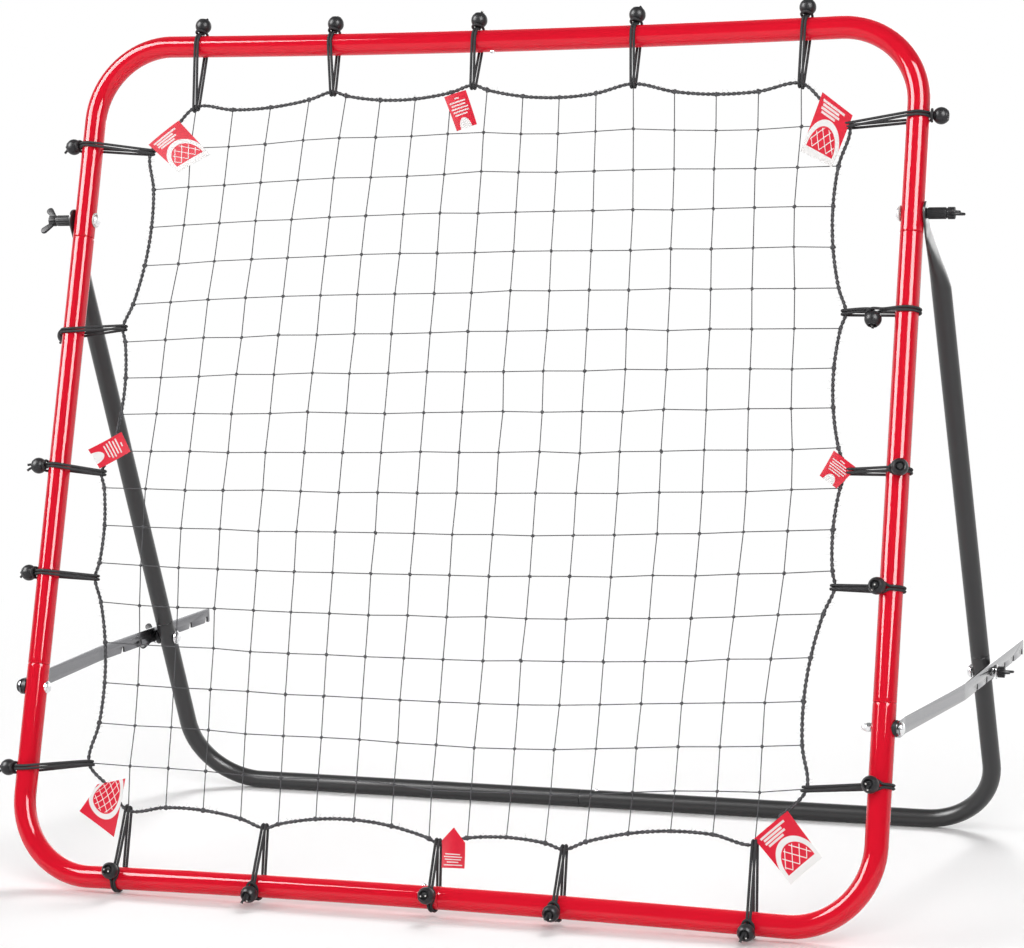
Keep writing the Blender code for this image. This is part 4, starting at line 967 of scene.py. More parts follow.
def net_balance(cells, tension):
    """Knot places by the balance of cord forces, with the hooked places held."""
    hooks = hook_rows()
    far = float(cells)
    border_of = {"bottom": lambda at: (at, 0.0), "right": lambda at: (far, at),
                 "top": lambda at: (at, far), "left": lambda at: (0.0, at)}
    walks = {}
    for side, spot_at in border_of.items():
        marks = {float(k): None for k in range(cells + 1)}
        for row in hooks:
            if row["side"] == side:
                at = row["cell"] * cells / TABLE_CELLS
                marks[float(round(at)) if abs(round(at) - at) < 0.15 else at] = row
        walks[side] = [(spot_at(at), marks[at], at) for at in sorted(marks)]
    grid = [(float(i), float(j)) for i in range(cells + 1) for j in range(cells + 1)]
    index, held = {spot: k for k, spot in enumerate(grid)}, {}
    for walk in walks.values():
        for spot, row, _ in walk:
            index.setdefault(spot, len(index))
            if row:
                held[spot] = row["hook"]
                row["spot"] = spot
    pull, load = np.zeros((len(index), len(index))), np.zeros((len(index), 2))

    def tie(a, b, q):
        for one, two in ((index[a], index[b]), (index[b], index[a])):
            pull[one, one] += q
            pull[one, two] -= q

    for walk in walks.values():
        for (a, _, u), (b, _, w) in zip(walk, walk[1:]):
            tie(a, b, tension / (w - u))
    for i in range(1, cells):
        for j in range(cells):
            tie((float(i), float(j)), (float(i), float(j + 1)), 1.0)
            tie((float(j), float(i)), (float(j + 1), float(i)), 1.0)
    for spot, place in held.items():
        k = index[spot]
        pull[k] = 0
        pull[k, k] = 1
        load[k] = place
    where = dict(zip(index, np.linalg.solve(pull, load)))
    lower, right, upper, left = ([spot for spot, _, _ in walk] for walk in walks.values())
    border = lower + right[1:] + upper[-2::-1] + left[-2:0:-1]
    for row in hooks:
        k = border.index(row["spot"])
        row["slopes"] = {}
        for other in (border[k - 1], border[(k + 1) % len(border)]):
            d = on_frame(*where[other]) - on_frame(*where[row["spot"]])
            ahead, back = d.dot(row["along"]), -d.dot(row["out"])
            row["slopes"][1 if ahead > 0 else -1] = max(back / max(abs(ahead), 1e-6), 0)
    return where, border, hooks


def smooth_line(points, gap, closed=False):
    """Centripetal spline through the points, with a point about every gap."""
    pts = [np.array(p, float) for p in points]
    count = len(pts)
    out = []
    for k in range(count if closed else count - 1):
        p1, p2 = pts[k], pts[(k + 1) % count]
        p0 = pts[k - 1] if closed or k else p1 * 2 - p2
        p3 = pts[(k + 2) % count] if closed or k + 2 < count else p2 * 2 - p1
        t = [0.0]
        for a, b in ((p0, p1), (p1, p2), (p2, p3)):
            t.append(t[-1] + max(np.linalg.norm(b - a), 1e-9) ** 0.5)

        def blend(a, b, i, j):
            return (t[j] - u) / (t[j] - t[i]) * a + (u - t[i]) / (t[j] - t[i]) * b

        steps = max(int(np.linalg.norm(p2 - p1) / gap), 1)
        for m in range(steps):
            u = t[1] + (t[2] - t[1]) * m / steps
            first, mid, last = blend(p0, p1, 0, 1), blend(p1, p2, 1, 2), blend(p2, p3, 2, 3)
            out.append(blend(blend(first, mid, 0, 2), blend(mid, last, 1, 3), 1, 2))
    return out if closed else out + [pts[-1]]


def point_mesh(points):
    mesh = bpy.data.meshes.new("points")
    mesh.from_pydata([tuple(p) for p in points], [], [])
    return mesh


class REBOUNDER_OT_net(bpy.types.Operator):
    """Knotted twine net with a laid rope round its border"""
    bl_idname = "rebounder.net"
    bl_label = "Net"

    def execute(self, context):
        sizes = context.scene.rebounder_sizes
        n = sizes.net_cells
        where, border, _ = net_balance(n, sizes.rope_tension)
        rng = np.random.default_rng(11)
        place = {}
        for spot, p in where.items():
            inner = 0 < spot[0] < n and 0 < spot[1] < n
            drift = rng.normal(0, 0.0005, 2) if inner else (0, 0)
            place[spot] = on_frame(p[0] + drift[0], p[1] + drift[1])
        cords = []
        for i in range(1, n):
            cords.append([place[float(i), float(j)] for j in range(n + 1)])
            cords.append([place[float(j), float(i)] for j in range(n + 1)])
        f = finishes()
        twine = swept(cords, sizes.twine / 2, 6, f["twine"])
        rope_line = smooth_line([place[s] for s in border], 0.004, closed=True)
        ring = sum((Vector(b) - Vector(a)).length
                   for a, b in zip(rope_line, rope_line[1:] + rope_line[:1]))
        rope = swept([rope_line], sizes.rope / 2, 12, f["rope"], closed=True, step=0.0014,
                     lobe_depth=0.34, twist=2 * math.pi * round(ring / ROPE_LAY) / ring,
                     unevenness=0.9)
        fuzz = grown(path_mesh([rope_line], closed=True), "fuzz", radius=sizes.rope / 2,
                     gap=0.0011, length=0.0046, material=f["rope"])
        inner = [place[float(i), float(j)] for i in range(1, n) for j in range(1, n)]
        knots = grown(point_mesh(inner), "knots", size=sizes.knot, material=f["twine"])
        ties = [place[s] for s in border if s[0] == int(s[0]) and s[1] == int(s[1])]
        lumps = grown(point_mesh(ties), "knots", size=sizes.rope * 1.42, seed=8,
                      material=f["rope"])
        piece("rebound_net_cordage", [rope, fuzz, twine, knots, lumps], "front_frame",
              "rebound_net")
        return {"FINISHED"}


# Ball bungees

def bungee_route(row):
    """The cord's closed route: out of the ball, over the tube's front, round the border
    rope, back behind the tube and round its own strands under the ball."""
    tube, hook = np.array(row["tube"]), np.array(row["hook"])
    reach = float(np.linalg.norm(tube - hook))
    lane = HOOK_PITCH / 2
    over = bpy.context.scene.rebounder_sizes.rope / 2 + CORD_R
    d = 2 * CORD_R
    meet = math.pi / 2 + math.asin((WRAP_R - over) / reach)
    run = WRAP_R * meet

    def belt(sigma, height):
        if sigma < 0:
            u, n = belt(-sigma, height)
            return u, -n
        if sigma <= run:
            a = sigma / WRAP_R
            return (WRAP_R + height) * math.cos(a), (WRAP_R + height) * math.sin(a)
        c, s = math.cos(meet), math.sin(meet)
        far = sigma - run
        return WRAP_R * c - far * s + height * c, WRAP_R * s + far * c + height * s

    def rolled(sigma, height, across):
        c, s = math.cos(row["roll"]), math.sin(row["roll"])
        u, n = belt(sigma, height * c - across * s)
        return u, n, height * s + across * c

    def wrap(start, end):
        count = max(math.ceil(abs(end - start) / WRAP_R / math.radians(15)), 1)
        return [start + (end - start) * k / count for k in range(1, count)]

    home = WRAP_R * math.radians(row["around"])
    lane_t = CORD_PITCH / 2
    strands = []
    for sign in (1, -1):
        pts = [rolled(home, BALL_LIFT + CUP_DEPTH * 0.6, sign * lane_t * 0.7),
               rolled(home, BALL_LIFT, sign * lane_t),
               rolled(home, BALL_LIFT * 0.45, sign * lane_t),
               rolled(home + 0.25 * d, 0.1 * d, sign * lane_t)]
        front = wrap(home + 0.25 * d, run) + [run] if home < run - 0.5 * d else []
        tail = home - 3.2 * d
        back = [-run] + wrap(-run, min(tail, run)) + ([run] if tail > run else [])
        crest = -(reach + lane * row["slopes"].get(sign, 0.0))
        pts += [(*belt(a, 0.0), sign * lane_t) for a in front]
        pts += [(crest + over * c, over * s, sign * lane) for c, s in arc(90, 270, 8)]
        pts += [(*belt(a, 0.0), sign * lane_t) for a in back]
        bight = ((tail, 0.0, lane_t), (home - 1.4 * d, 0.12 * d, 1.53 * d),
                 (home + 0.17 * d, 0.18 * d, 1.87 * d), (home + 1.7 * d, 0.85 * d, 1.77 * d))
        strands.append(pts + [rolled(a, b, sign * c) for a, b, c in bight])
    line = strands[0] + [rolled(home + 2.8 * d, 1.9 * d, 0.0)] + strands[1][::-1]
    middle = on_frame(*tube)

    def world(u, n, x):
        near = min(max(-u / reach, 0.0), 1.0)
        shift = x + row["slide"] * (1 - near)
        return middle + row["out"] * u + FRONT * n + row["along"] * shift

    ball = world(*rolled(home, BALL_LIFT, 0.0))
    base = world(*rolled(home, 0.0, 0.0))
    side = (world(*rolled(home, 0.0, lane_t)) - base).normalized()
    return [world(*p) for p in line], ball, (ball - base).normalized(), side


def ball_profile():
    """Slightly flattened ball with a hollow at the cord's side and a cup at its end."""
    r = BALL_R
    rim = math.sqrt(r * r - CUP_R * CUP_R)
    return ([(0.0, -r * 0.80), (0.0018, -r * 0.80), (0.0030, -r * 0.90)]
            + [(r * c, r * s * 0.985) for c, s in arc(-68, 52, 14)]
            + [(CUP_R + 0.0001, rim + 0.0001), (CUP_R - 0.0007, rim - 0.0004),
               (CUP_R - 0.0012, rim - 0.0016), (CUP_R - 0.0016, rim - CUP_DEPTH),
               (0.0, rim - CUP_DEPTH)])


class REBOUNDER_OT_bungees(bpy.types.Operator):
    """Twenty elastic loops with their balls, hooked between the tubes and the net"""
    bl_idname = "rebounder.bungees"
    bl_label = "Ball Bungees"

    def execute(self, context):
        sizes = context.scene.rebounder_sizes
        _, _, rows = net_balance(sizes.net_cells, sizes.rope_tension)
        f = finishes()
        rng = np.random.default_rng(5)
        for row in rows:
            points, ball, axis, side = bungee_route(row)
            cord = swept([smooth_line(points, 0.0016)], CORD_R, 10, f["cord"])
            shell = mesh_of(turned(ball_profile(), ball, axis, 36), f["ball"], 50)
            floor = ball + axis * (math.sqrt(BALL_R ** 2 - CUP_R ** 2) - CUP_DEPTH)
            knot = turned(fillet([(0.0, 0.0), (0.0036, 0.0), (0.0040, 0.0020), (0.0030, 0.0034),
                                  (0.0, 0.0036)], 0.001), floor, axis, 24)
            meshes = [shell, cord, mesh_of(knot, f["cord"], 60)]
            for sign in (1, -1):
                lean = side * (sign * 0.18) + axis.cross(side) * float(rng.uniform(-0.3, 0.3))
                bend = lean + Vector((0, 0, -0.35))
                root = floor + side * (sign * 0.0014)
                reach = (0.0075 + float(rng.uniform(0, 0.0035))) * row["tails"]
                tail = [root + axis * (reach * t) + bend * (reach * t * t)
                        for t in (0, 0.25, 0.5, 0.75, 1)]
                meshes.append(swept([tail], CORD_R * 0.95, 10, f["cord"]))
                disc = turned([(0.0, 0.00012), (CORD_R * 0.62, 0.0001),
                               (CORD_R * 0.66, -0.0002)],
                              tail[-1], (tail[-1] - tail[-2]).normalized(), 14)
                meshes.append(mesh_of(disc, f["core"], 60))
            piece(row["name"] + "_cord", meshes, "front_frame", row["name"])
        return {"FINISHED"}


# Hardware

def lathe(profile, side, face, centre, material, smooth=45, way=1, sides=40):
    """Turned piece on a face across the frame; way is 1 outward and -1 inward."""
    bm = turned(profile, centre + RIGHT * (side * face), RIGHT * (side * way), sides)
    return mesh_of(bm, material, smooth)


def washer_mesh(side, face, centre, bore, edge, material, way=1):
    """Flat washer with its edges rounded."""
    ring = [(bore, 0.0), (WASHER_R, 0.0), (WASHER_R, WASHER_T), (bore, WASHER_T)]
    return lathe(fillet(ring, edge), side, face, centre, material, way=way)


def bolt_meshes(side, inner, outer, centre, material, washer=None, way=-1):
    """Low domed head at the inner or outer face, on a washer where its material is given,
    and a shank with fine rings of thread between the two faces."""
    low = WASHER_T if washer else 0.0
    prof = [(0.0, HEAD_T + low)]
    prof += [(HEAD_R * c, low + HEAD_T * (0.12 + 0.88 * s)) for c, s in arc(90, 12, 8)[1:]]
    prof += [(HEAD_R, low + HEAD_T * 0.16), (HEAD_R * 0.98, low), (0.0, low)]
    meshes = [lathe(prof, side, inner if way < 0 else outer, centre, material, way=way)]
    if washer:
        meshes.append(washer_mesh(side, inner, centre, BOLT_R, 0.0003, washer, way))
    length = outer - inner
    count = int(length / THREAD_PITCH)
    prof = [(0.0, 0.0), (BOLT_R * 0.9, 0.0)]
    for k in range(count):
        at = length * (k + 0.5) / count
        prof += [(BOLT_R * 0.86, at - length / count / 2 + 0.0001), (BOLT_R, at)]
    prof += [(BOLT_R * 0.8, length), (0.0, length)]
    return meshes + [lathe(prof, side, inner, centre, material, 30, sides=20)]


def ribbed(side, face, centre, radius, length, count, height, material, dome=0.0008):
    """Short barrel with straight ribs round it."""
    core = [(0.0, 0.0), (radius - height, 0.0), (radius - height, length), (0.0, length)]
    barrel = lathe(fillet(core, dome), side, face, centre, material)
    bm = bmesh.new()
    wide = 2 * math.pi * radius / count * 0.55
    bmesh.ops.create_cube(bm, size=1.0)
    for v in bm.verts:
        top = v.co.x > 0
        v.co = Vector((height * 1.6 * v.co.x, wide * (0.62 if top else 1.0) * v.co.y,
                       length * (0.86 if top else 0.94) * v.co.z))
    rib = bevelled(mesh_of(bm, material, 0), 0.0002)
    ribs = grown(rib, "ribs", count=count, radius=radius - height * 0.8, material=material)
    middle = Matrix.Translation(centre + RIGHT * (side * (face + length / 2)))
    ribs.transform(middle @ Matrix.Rotation(math.radians(90), 4, "Y"))
    return [barrel, ribs]


def wing_mesh(root, along, lift, thick_way, material):
    """Paddle wing with a round end, thicker at its root and softly edged."""
    r = WING_WIDTH / 2
    rim = [(0.0, -r * 0.55), (WING_LENGTH * 0.35, -r * 0.80), (WING_LENGTH - r, -r)]
    rim += [(WING_LENGTH - r + r * c, r * s) for c, s in arc(-75, 75, 10)]
    rim += [(WING_LENGTH - r, r), (WING_LENGTH * 0.35, r * 0.80), (0.0, r * 0.55)]
    faces = [[root + along * p + lift * q
              + thick_way * (z * WING_THICK * (1.15 - 0.35 * p / WING_LENGTH))
              for p, q in rim] for z in (-0.5, 0.5)]
    return bevelled(mesh_of(skin(faces), material, 0), 0.0009, 3, 50, 60)


def wing_nut(side, face, centre, turn, material):
    """Ribbed barrel with two wings that lean outward."""
    axis = RIGHT * side
    meshes = ribbed(side, face + SEAT, centre, NUT_R, NUT_LENGTH, 12, 0.0007, material, 0.0014)
    middle = centre + axis * (face + SEAT + NUT_LENGTH * 0.5)
    for a in (turn, turn + math.pi):
        out = UP * math.cos(a) + axis.cross(UP) * math.sin(a)
        way = (out * 0.72 + axis * 0.69).normalized()
        lift = (axis * 0.72 - out * 0.69).normalized()
        root = middle + out * (BOLT_R + WING_WIDTH * 0.25)
        meshes.append(wing_mesh(root, way, lift, axis.cross(out), material))
    return meshes


def saddle_mesh(side, face, centre, tube_axis, tube_r, thin, material):
    """Round spacer hollowed on its inner side to sit on a tube."""
    across_way = (RIGHT * side).cross(tube_axis).normalized()
    bore = BOLT_R + SEAT
    hug = tube_r + SADDLE_SEAT
    top = face + SADDLE_SEAT + thin

    def ring(radius, depth):
        """Circle at a depth below the top, or on the hollow where no depth is given."""
        pts = []
        for c, s in arc(0, 360, 48)[:-1]:
            p, q = radius * c, radius * s
            x = face - tube_r + math.sqrt(hug * hug - q * q) if depth is None else top - depth
            pts.append(centre + RIGHT * (side * x) + tube_axis * p + across_way * q)
        return pts

    r = SADDLE_R
    rings = [(r - 0.0005, 0.0), (r - 0.00015, 0.00015), (r, 0.0005), (r, None),
             (r * 0.8, None), (r * 0.6, None), (bore, None), (bore, 0.0)]
    return mesh_of(skin([ring(*row) for row in rings], closed=True), material)


def cap_mesh(side, face, centre, material):
    """Smooth domed cap on the outer side."""
    prof = [(0.0, CAP_T)]
    prof += [(CAP_R * c ** 0.9, CAP_T * (0.25 + 0.75 * s)) for c, s in arc(90, 8, 8)[1:]]
    prof += [(CAP_R, CAP_T * 0.25), (CAP_R, 0.0003), (CAP_R - 0.0003, 0.0), (0.0, 0.0)]
    return lathe(prof, side, face + SEAT, centre, material, 40)


def acorn_mesh(side, face, centre, material):
    """Acorn nut on the inner side: a chamfered hexagon under a dome."""
    axis = RIGHT * -side
    place = centre + RIGHT * (side * (face - SEAT))

    def ring(at, radius, round_share):
        pts = []
        for k, (c, s) in enumerate(arc(0, 360, 36)[:-1]):
            wedge = math.radians((10 * k + 30) % 60 - 30)
            flat = math.cos(math.pi / 6) / math.cos(wedge)
            r = radius * (flat + (1 - flat) * round_share)
            pts.append(place + axis * at + (UP * c + axis.cross(UP) * s) * r)
        return pts

    hexagon = ACORN_T * 0.42
    rings = [(0.0, ACORN_R * 0.93, 0.6), (0.0006, ACORN_R, 0.0),
             (hexagon - 0.0006, ACORN_R, 0.0), (hexagon, ACORN_R * 0.90, 0.8)]
    rings += [(hexagon + (ACORN_T - hexagon) * s, ACORN_R * 0.84 * c, 1.0)
              for c, s in arc(10, 80, 7)]
    return mesh_of(skin([ring(*row) for row in rings]), material, 35)


# Faces across the frame that the hardware sits on
POST_IN = POST_FACE - 2 * TUBE_R
FLAT_OUT = POST_FACE + SEAT + FLAT_THICK
SLEEVE_OUT = FLAT_OUT + SEAT + SLEEVE_LENGTH
BAR_OUT = bar_x(0) + BAR_THICK / 2
LEG_WASHER_IN = bar_x(NOTCH_ALONG + WASHER_R) + BAR_THICK / 2 + SEAT
LEG_NUT_IN = LEG_WASHER_IN + WASHER_T


class REBOUNDER_OT_hardware(bpy.types.Operator):
    """Bolts, washers, sleeves, saddles and domed nuts at the pivots"""
    bl_idname = "rebounder.hardware"
    bl_label = "Pivot Hardware"

    def execute(self, context):
        f = finishes()
        bright, plastic = f["bright"], f["plastic"]
        inner = POST_IN - SEAT
        for tag, side in SIDES:
            bolt = bolt_meshes(side, inner, SLEEVE_OUT + NUT_LENGTH * 0.7, LEG_PIVOT, bright,
                               f["nylon"])
            piece(f"pivot_bolt_{tag}_zinc", bolt, "front_frame", "pivot_bolt_" + tag)
            sleeve = ribbed(side, FLAT_OUT + SEAT, LEG_PIVOT, SLEEVE_R, SLEEVE_LENGTH, 16,
                            0.0006, plastic)
            piece(f"pivot_sleeve_{tag}_ribbed", sleeve, "front_frame", "pivot_sleeve_" + tag)

            saddle = saddle_mesh(side, POST_FACE, BAR_PIVOT, UP, TUBE_R, BAR_SADDLE_T, plastic)
            piece(f"bar_saddle_{tag}_moulded", [saddle], "front_frame", "bar_saddle_" + tag)
            if side > 0:
                bolt = bolt_meshes(side, inner - ACORN_T * 0.5, BAR_OUT + SEAT, BAR_PIVOT,
                                   bright, way=1)
                nut = acorn_mesh(side, POST_IN, BAR_PIVOT, bright)
            else:
                bolt = bolt_meshes(side, inner, BAR_OUT + SEAT + CAP_T * 0.5, BAR_PIVOT, bright)
                nut = cap_mesh(side, BAR_OUT, BAR_PIVOT, plastic)
            piece(f"bar_bolt_{tag}_zinc", bolt, "front_frame", "bar_bolt_" + tag)
            piece(f"bar_nut_{tag}_domed", [nut], "front_frame", "bar_nut_" + tag)

            bolt = bolt_meshes(side, LEG_BOLT_X - LEG_TUBE_R - SEAT,
                               LEG_NUT_IN + NUT_LENGTH * 0.7, LEG_BOLT, bright, bright)
            piece(f"leg_bolt_{tag}_zinc", bolt, "rear_leg", "leg_bolt_" + tag)
            spacer = saddle_mesh(side, LEG_BOLT_X + LEG_TUBE_R, LEG_BOLT, LEG_DOWN, LEG_TUBE_R,
                                 LEG_SADDLE_T, plastic)
            piece(f"leg_saddle_{tag}_moulded", [spacer], "rear_leg", "leg_saddle_" + tag)
            plate = washer_mesh(side, LEG_WASHER_IN, LEG_BOLT, BOLT_R + SEAT, 0.00025, bright)
            piece(f"leg_washer_{tag}_zinc", [plate], "rear_leg", "leg_washer_" + tag)
        return {"FINISHED"}


class REBOUNDER_OT_wing_nuts(bpy.types.Operator):
    """Black wing nuts at the leg pivots and at the notched bars"""
    bl_idname = "rebounder.wing_nuts"
    bl_label = "Wing Nuts"

    def execute(self, context):
        for tag, side in SIDES:
            for kind, face, centre in (("pivot", SLEEVE_OUT, LEG_PIVOT),
                                       ("leg", LEG_NUT_IN, LEG_BOLT)):
                nut = wing_nut(side, face, centre, WING_TURNS[tag], finishes()["plastic"])
                name = f"{kind}_wing_nut_{tag}"
                piece(name + "_moulded", nut, name, name)
        return {"FINISHED"}


class REBOUNDER_OT_snap_buttons(bpy.types.Operator):
    """Spring buttons that lock the splices"""
    bl_idname = "rebounder.snap_buttons"
    bl_label = "Snap Buttons"

    def execute(self, context):
        x = BUTTON_FROM_SPLICE - SPLICE_OFF
        top = on_frame(x, bowed(x, TOP_S, -1)) - UP * TUBE_R
        bottom = on_frame(-x, bowed(x, 0.0, 1)) + UP * TUBE_R
        rear = Vector((BUTTON_FROM_SPLICE, FOOT.y, 2 * LEG_R + FLOOR_GAP))
        prof = [(0.0, -0.0006), (BUTTON_R * 1.12, -0.0006), (BUTTON_R * 1.12, 0.0001),
                (BUTTON_R, 0.0002)]
        prof += [(BUTTON_R * c, 0.0004 + (BUTTON_PROUD - 0.0001) * s)
                 for c, s in arc(0, 75, 5)] + [(0.0, BUTTON_PROUD + 0.0003)]
        for tag, place, out, body in (("top", top, -UP, "front_frame"),
                                      ("bottom", bottom, UP, "front_frame"),
                                      ("rear", rear, Vector((0, 0, 1)), "rear_leg")):
            mesh = mesh_of(turned(prof, place, out, 32), finishes()["bright"], 50)
            piece(f"snap_button_{tag}_dome", [mesh], body, "snap_button_" + tag)
        return {"FINISHED"}


# Hang tags

CARD_THICK = 0.0005
CARD_LIFT = 0.0034             # in front of the net
CARD_FOLD = 0.004              # forward curl of the lower edge on top of that
# Corners of each tag in the frame's plane, round from the upper left of its print, what is
# printed on it, and how far the middle of its upper edge stands up
TAGS = (
    ("top_left", ((-0.4142, 0.8444), (-0.3789, 0.8729), (-0.3325, 0.8301), (-0.3708, 0.8100)),
     "large", 0.0),
    ("top", ((-0.0522, 0.8939), (-0.0270, 0.9018), (-0.0095, 0.8610), (-0.0314, 0.8522)),
     "small", 0.0),
    ("top_right", ((0.3825, 0.8901), (0.4171, 0.8634), (0.3991, 0.8043), (0.3629, 0.8240)),
     "large", 0.0),
    ("left", ((-0.4118, 0.5043), (-0.3979, 0.4819), (-0.4333, 0.4609), (-0.4486, 0.4820)),
     "small", 0.0),
    ("right", ((0.4189, 0.4976), (0.4442, 0.4796), (0.4252, 0.4564), (0.4060, 0.4700)),
     "small", 0.0),
    ("bottom_left", ((-0.3705, 0.0455), (-0.4160, 0.0715), (-0.3950, 0.1022), (-0.3620, 0.1108)),
     "turned", 0.0),
    ("bottom", ((0.0172, 0.0650), (0.0437, 0.0642), (0.0462, 0.0368), (0.0213, 0.0360)),
     "low", 0.0150),
    ("bottom_right", ((0.3597, 0.0875), (0.3932, 0.1181), (0.4333, 0.0723), (0.4023, 0.0434)),
     "large", 0.0),
)
# Bars of each print: height, left end and right end in shares of the card
BARS = {
    "large": ((0.91, 0.10, 0.80), (0.85, 0.14, 0.66), (0.79, 0.12, 0.70), (0.73, 0.16, 0.60)),
    "turned": (),
    "small": ((0.86, 0.40, 0.60), (0.76, 0.12, 0.84), (0.67, 0.16, 0.80), (0.58, 0.10, 0.88),
              (0.49, 0.14, 0.86), (0.40, 0.18, 0.76)),
    "low": ((0.52, 0.16, 0.80), (0.42, 0.10, 0.88), (0.32, 0.14, 0.84), (0.22, 0.24, 0.74),
            (0.11, 0.10, 0.90)),
}


def printed_card(kind, colour):
    """Card in red with plain pale bars; the large prints also have a white band over a
    lattice, and a pale foot."""
    f = Finish("printed_card_" + kind, Specular_IOR_Level=0.12)
    x, y, _ = f.axes(f.attribute("UVMap", "Vector"))

    def band(value, low, high):
        return value.over(low, 0.006) * (1 - value.over(high, 0.006))

    def distance(px, py):
        return f.math("SQRT", px * px + py * py)

    marks = [band(y, at - 0.020, at + 0.020) * band(x, left, right) * 0.85
             for at, left, right in BARS[kind]]
    if kind in ("large", "turned"):
        px, py = x - 0.5, y - (0.16 if kind == "large" else 0.32)
        ring = distance(px, py)
        lines = [1 - f.math("PINGPONG", way + 2.0, 0.11).over(0.012, 0.006)
                 for way in (px + py, px - py)]
        foot = y.over(0.0 if kind == "turned" else 0.16, 0.01)
        marks += [band(ring, 0.41, 0.52),
                  (lines[0] + lines[1]) * (1 - ring.over(0.38, 0.006)) * foot]
        if kind == "large":
            marks.append(1 - y.over(0.13, 0.004))
    elif kind == "small":
        marks.append(1 - distance(x - 0.5, y * 0.9).over(0.27, 0.01))
    white = marks[0]
    for mark in marks[1:]:
        white = mark + white
    wear = f.noise(300, 2.0)
    red = f.mix(wear, tint(colour, 0.92), tint(colour, 1.06))
    f.set(Base_Color=f.mix(f.math("MINIMUM", white, 1.0), red, (0.86, 0.84, 0.83)),
          Roughness=wear * 0.1 + 0.42)
    return f.material


def card_mesh(corners, peak, rng, material):
    """Thin card through four corners, slightly curled, with its print on a UV map."""
    n = 12
    tl, tr, br, bl = (np.array(c) for c in corners)
    bow, twist = rng.uniform(-0.0022, 0.0022, 2)
    bm = bmesh.new()
    grid, uv_of = {}, {}
    for i in range(n + 1):
        for j in range(n + 1):
            u, v = i / n, j / n
            p = (tl * (1 - u) + tr * u) * v + (bl * (1 - u) + br * u) * (1 - v)
            p[1] += peak * (1 - abs(2 * u - 1)) * max(0.0, v - 0.6) / 0.4
            depth = (CARD_LIFT + bow * (1 - (2 * u - 1) ** 2) + twist * (2 * u - 1) * (1 - v)
                     + CARD_FOLD * (1 - v) ** 2)
            grid[i, j] = bm.verts.new(on_frame(p[0], p[1], depth))
            uv_of[grid[i, j]] = (u, v)
    layer = bm.loops.layers.uv.new("UVMap")
    for i in range(n):
        for j in range(n):
            face = bm.faces.new((grid[i, j], grid[i + 1, j], grid[i + 1, j + 1], grid[i, j + 1]))
            for loop in face.loops:
                loop[layer].uv = uv_of[loop.vert]
    mesh = bpy.data.meshes.new("card")
    bm.to_mesh(mesh)
    bm.free()
    mesh.materials.append(material)
    return smoothed(applied(mesh, "SOLIDIFY", {"thickness": CARD_THICK, "offset": 0}), 40)


class REBOUNDER_OT_tags(bpy.types.Operator):
    """Red and white cards that hang on the border rope"""
    bl_idname = "rebounder.tags"
    bl_label = "Hang Tags"

    def execute(self, context):
        colour = context.scene.rebounder_colours.tag_red
        cards = {kind: printed_card(kind, colour) for kind in BARS}
        rng = np.random.default_rng(21)
        for name, corners, kind, peak in TAGS:
            piece("hang_tag_" + name, [card_mesh(corners, peak, rng, cards[kind])],
                  "front_frame")
        return {"FINISHED"}


# Stage

FLOOR_GLOW = 0.06              # white that camera and mirror rays see on the floor
CAMERA_PLACE = Vector((1.1059, -2.8876, 0.7982))
CAMERA_YAW, CAMERA_PITCH, CAMERA_ROLL = 0.33278, -0.10454, -0.01463
LENS = 103.615
# Lamps: azimuth (0 in front, 90 to the right), distance, height, size, power, and True for
# one that shows as highlights only or False for one that lights without a highlight
LAMPS = {
    "strip_left": (-56, 3.2, 2.5, (2.2, 2.6), 356, True),
    "strip_right": (48, 3.2, 2.5, (1.7, 2.6), 275, True),
    "key": (22, 3.4, 2.6, (2.4, 2.4), 82, False),
    "side": (-52, 3.4, 2.2, (2.0, 2.0), 42, False),
    "back": (180, 3.4, 4.6, (2.6, 2.6), 205, False),
}


def floor_finish():
    """Matt white floor that keeps the shadows near the object and fades to plain white."""
    f = Finish("studio_floor", Base_Color=(0.92, 0.92, 0.92), Roughness=0.9,
               Specular_IOR_Level=0.0)
    away = f.number("ShaderNodeVectorMath", {"operation": "LENGTH"}, {0: f.place()}, "Value")
    fade = away.over(1.5, 0.8)
    rays = f.node("ShaderNodeLightPath").outputs
    seen = f.math("MAXIMUM", rays["Is Camera Ray"], rays["Is Glossy Ray"])
    seen = f.math("MAXIMUM", seen, rays["Is Transmission Ray"])
    glow = f.node("ShaderNodeCombineXYZ", None, {k: seen * FLOOR_GLOW for k in "XYZ"})
    f.set(Emission_Color=glow, Emission_Strength=1.0)
    white = f.node("ShaderNodeEmission", None, {"Color": (1, 1, 1), "Strength": 1.0})
    blend = f.node("ShaderNodeMixShader", None, {0: fade * seen, 1: f.shader, 2: white})
    f.plug(f.tree.nodes["Material Output"].inputs["Surface"], blend)
    return f.material


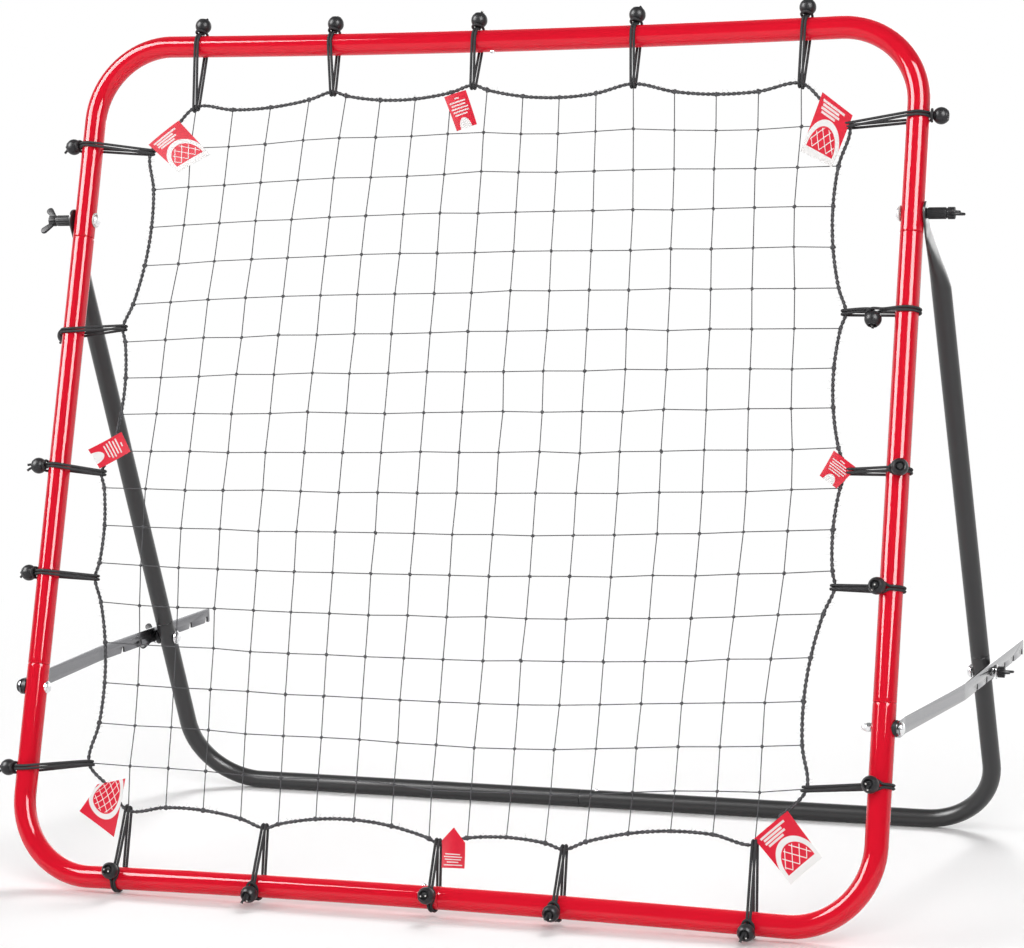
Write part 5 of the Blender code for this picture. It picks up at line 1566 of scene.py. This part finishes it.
def studio_world():
    """Plain white for the camera, a soft backdrop for mirror rays, a little fill light."""
    world = bpy.data.worlds.new("studio")
    world.use_nodes = True
    world.node_tree.nodes.clear()
    g = Graph(world.node_tree)
    rays = g.node("ShaderNodeLightPath").outputs
    _, y, z = g.axes(g.node("ShaderNodeTexCoord").outputs["Generated"])
    backdrop = ((y.over(0.15, 0.35) * 1.2 + y.over(0.86, 0.12) * 1.5)
                * (1 - z.over(0.35, 0.3) * 0.8) + 0.08)
    seen = Num(g, rays["Is Camera Ray"])
    mirrored = g.math("MAXIMUM", rays["Is Glossy Ray"], rays["Is Transmission Ray"]) * (1 - seen)
    fill = (1 - seen) * (1 - mirrored) * 0.21
    back = g.node("ShaderNodeBackground", None,
                  {"Color": (1, 1, 1), "Strength": seen + mirrored * backdrop + fill})
    g.node("ShaderNodeOutputWorld", None, {"Surface": back})
    return world


class REBOUNDER_OT_stage(bpy.types.Operator):
    """White floor, soft studio lights and the camera"""
    bl_idname = "rebounder.stage"
    bl_label = "Stage"

    def execute(self, context):
        scene = context.scene
        bm = bmesh.new()
        bmesh.ops.create_grid(bm, x_segments=1, y_segments=1, size=30)
        floor = placed("studio_floor", mesh_of(bm, floor_finish(), 0))
        floor.location.z = -0.0004
        for name, (azimuth, distance, height, size, power, mirrored) in LAMPS.items():
            data = bpy.data.lights.new(name, "AREA")
            data.shape = "RECTANGLE"
            data.size, data.size_y = size
            data.energy = power
            lamp = placed(name, data)
            a = math.radians(azimuth)
            lamp.location = (distance * math.sin(a), -distance * math.cos(a), height)
            way = Vector((0, 0, 0.5)) - lamp.location
            lamp.rotation_euler = way.to_track_quat("-Z", "Y").to_euler()
            lamp.visible_glossy = mirrored
            lamp.visible_diffuse = not mirrored
        scene.world = studio_world()
        scene.view_settings.view_transform = "Standard"

        level = math.cos(CAMERA_PITCH)
        forward = Vector((-math.sin(CAMERA_YAW) * level, math.cos(CAMERA_YAW) * level,
                          math.sin(CAMERA_PITCH)))
        right = Vector((math.cos(CAMERA_YAW), math.sin(CAMERA_YAW), 0))
        up = right.cross(forward)
        c, s = math.cos(CAMERA_ROLL), math.sin(CAMERA_ROLL)
        right, up = right * c + up * s, up * c - right * s
        turn = Matrix((right, up, -forward)).transposed().to_4x4()
        data = bpy.data.cameras.new("camera")
        data.lens = LENS
        data.clip_end = 100
        scene.camera = placed("camera", data)
        scene.camera.matrix_world = Matrix.Translation(CAMERA_PLACE + SHIFT) @ turn
        return {"FINISHED"}


class REBOUNDER_PT_panel(bpy.types.Panel):
    """Sidebar panel with the rebounder's sizes, colours and pieces"""
    bl_label = "Soccer Rebounder"
    bl_space_type = "VIEW_3D"
    bl_region_type = "UI"
    bl_category = "Rebounder"

    def draw(self, context):
        for group in (context.scene.rebounder_sizes, context.scene.rebounder_colours):
            for key in group.bl_rna.properties.keys():
                if key not in ("rna_type", "name"):
                    self.layout.prop(group, key)
        for kind in STEPS:
            self.layout.operator(kind.bl_idname)


STEPS = (REBOUNDER_OT_stage, REBOUNDER_OT_front_frame, REBOUNDER_OT_rear_legs,
         REBOUNDER_OT_angle_bars, REBOUNDER_OT_net, REBOUNDER_OT_bungees,
         REBOUNDER_OT_hardware, REBOUNDER_OT_wing_nuts, REBOUNDER_OT_snap_buttons,
         REBOUNDER_OT_tags)
CLASSES = (RebounderSizes, RebounderColours) + STEPS + (REBOUNDER_PT_panel,)


def register():
    for kind in CLASSES:
        bpy.utils.register_class(kind)
    bpy.types.Scene.rebounder_sizes = bpy.props.PointerProperty(type=RebounderSizes)
    bpy.types.Scene.rebounder_colours = bpy.props.PointerProperty(type=RebounderColours)


def unregister():
    del bpy.types.Scene.rebounder_colours
    del bpy.types.Scene.rebounder_sizes
    for kind in reversed(CLASSES):
        bpy.utils.unregister_class(kind)


def main():
    register()
    for kind in STEPS:
        group, name = kind.bl_idname.split(".")
        getattr(getattr(bpy.ops, group), name)()


if __name__ == "__main__":
    main()
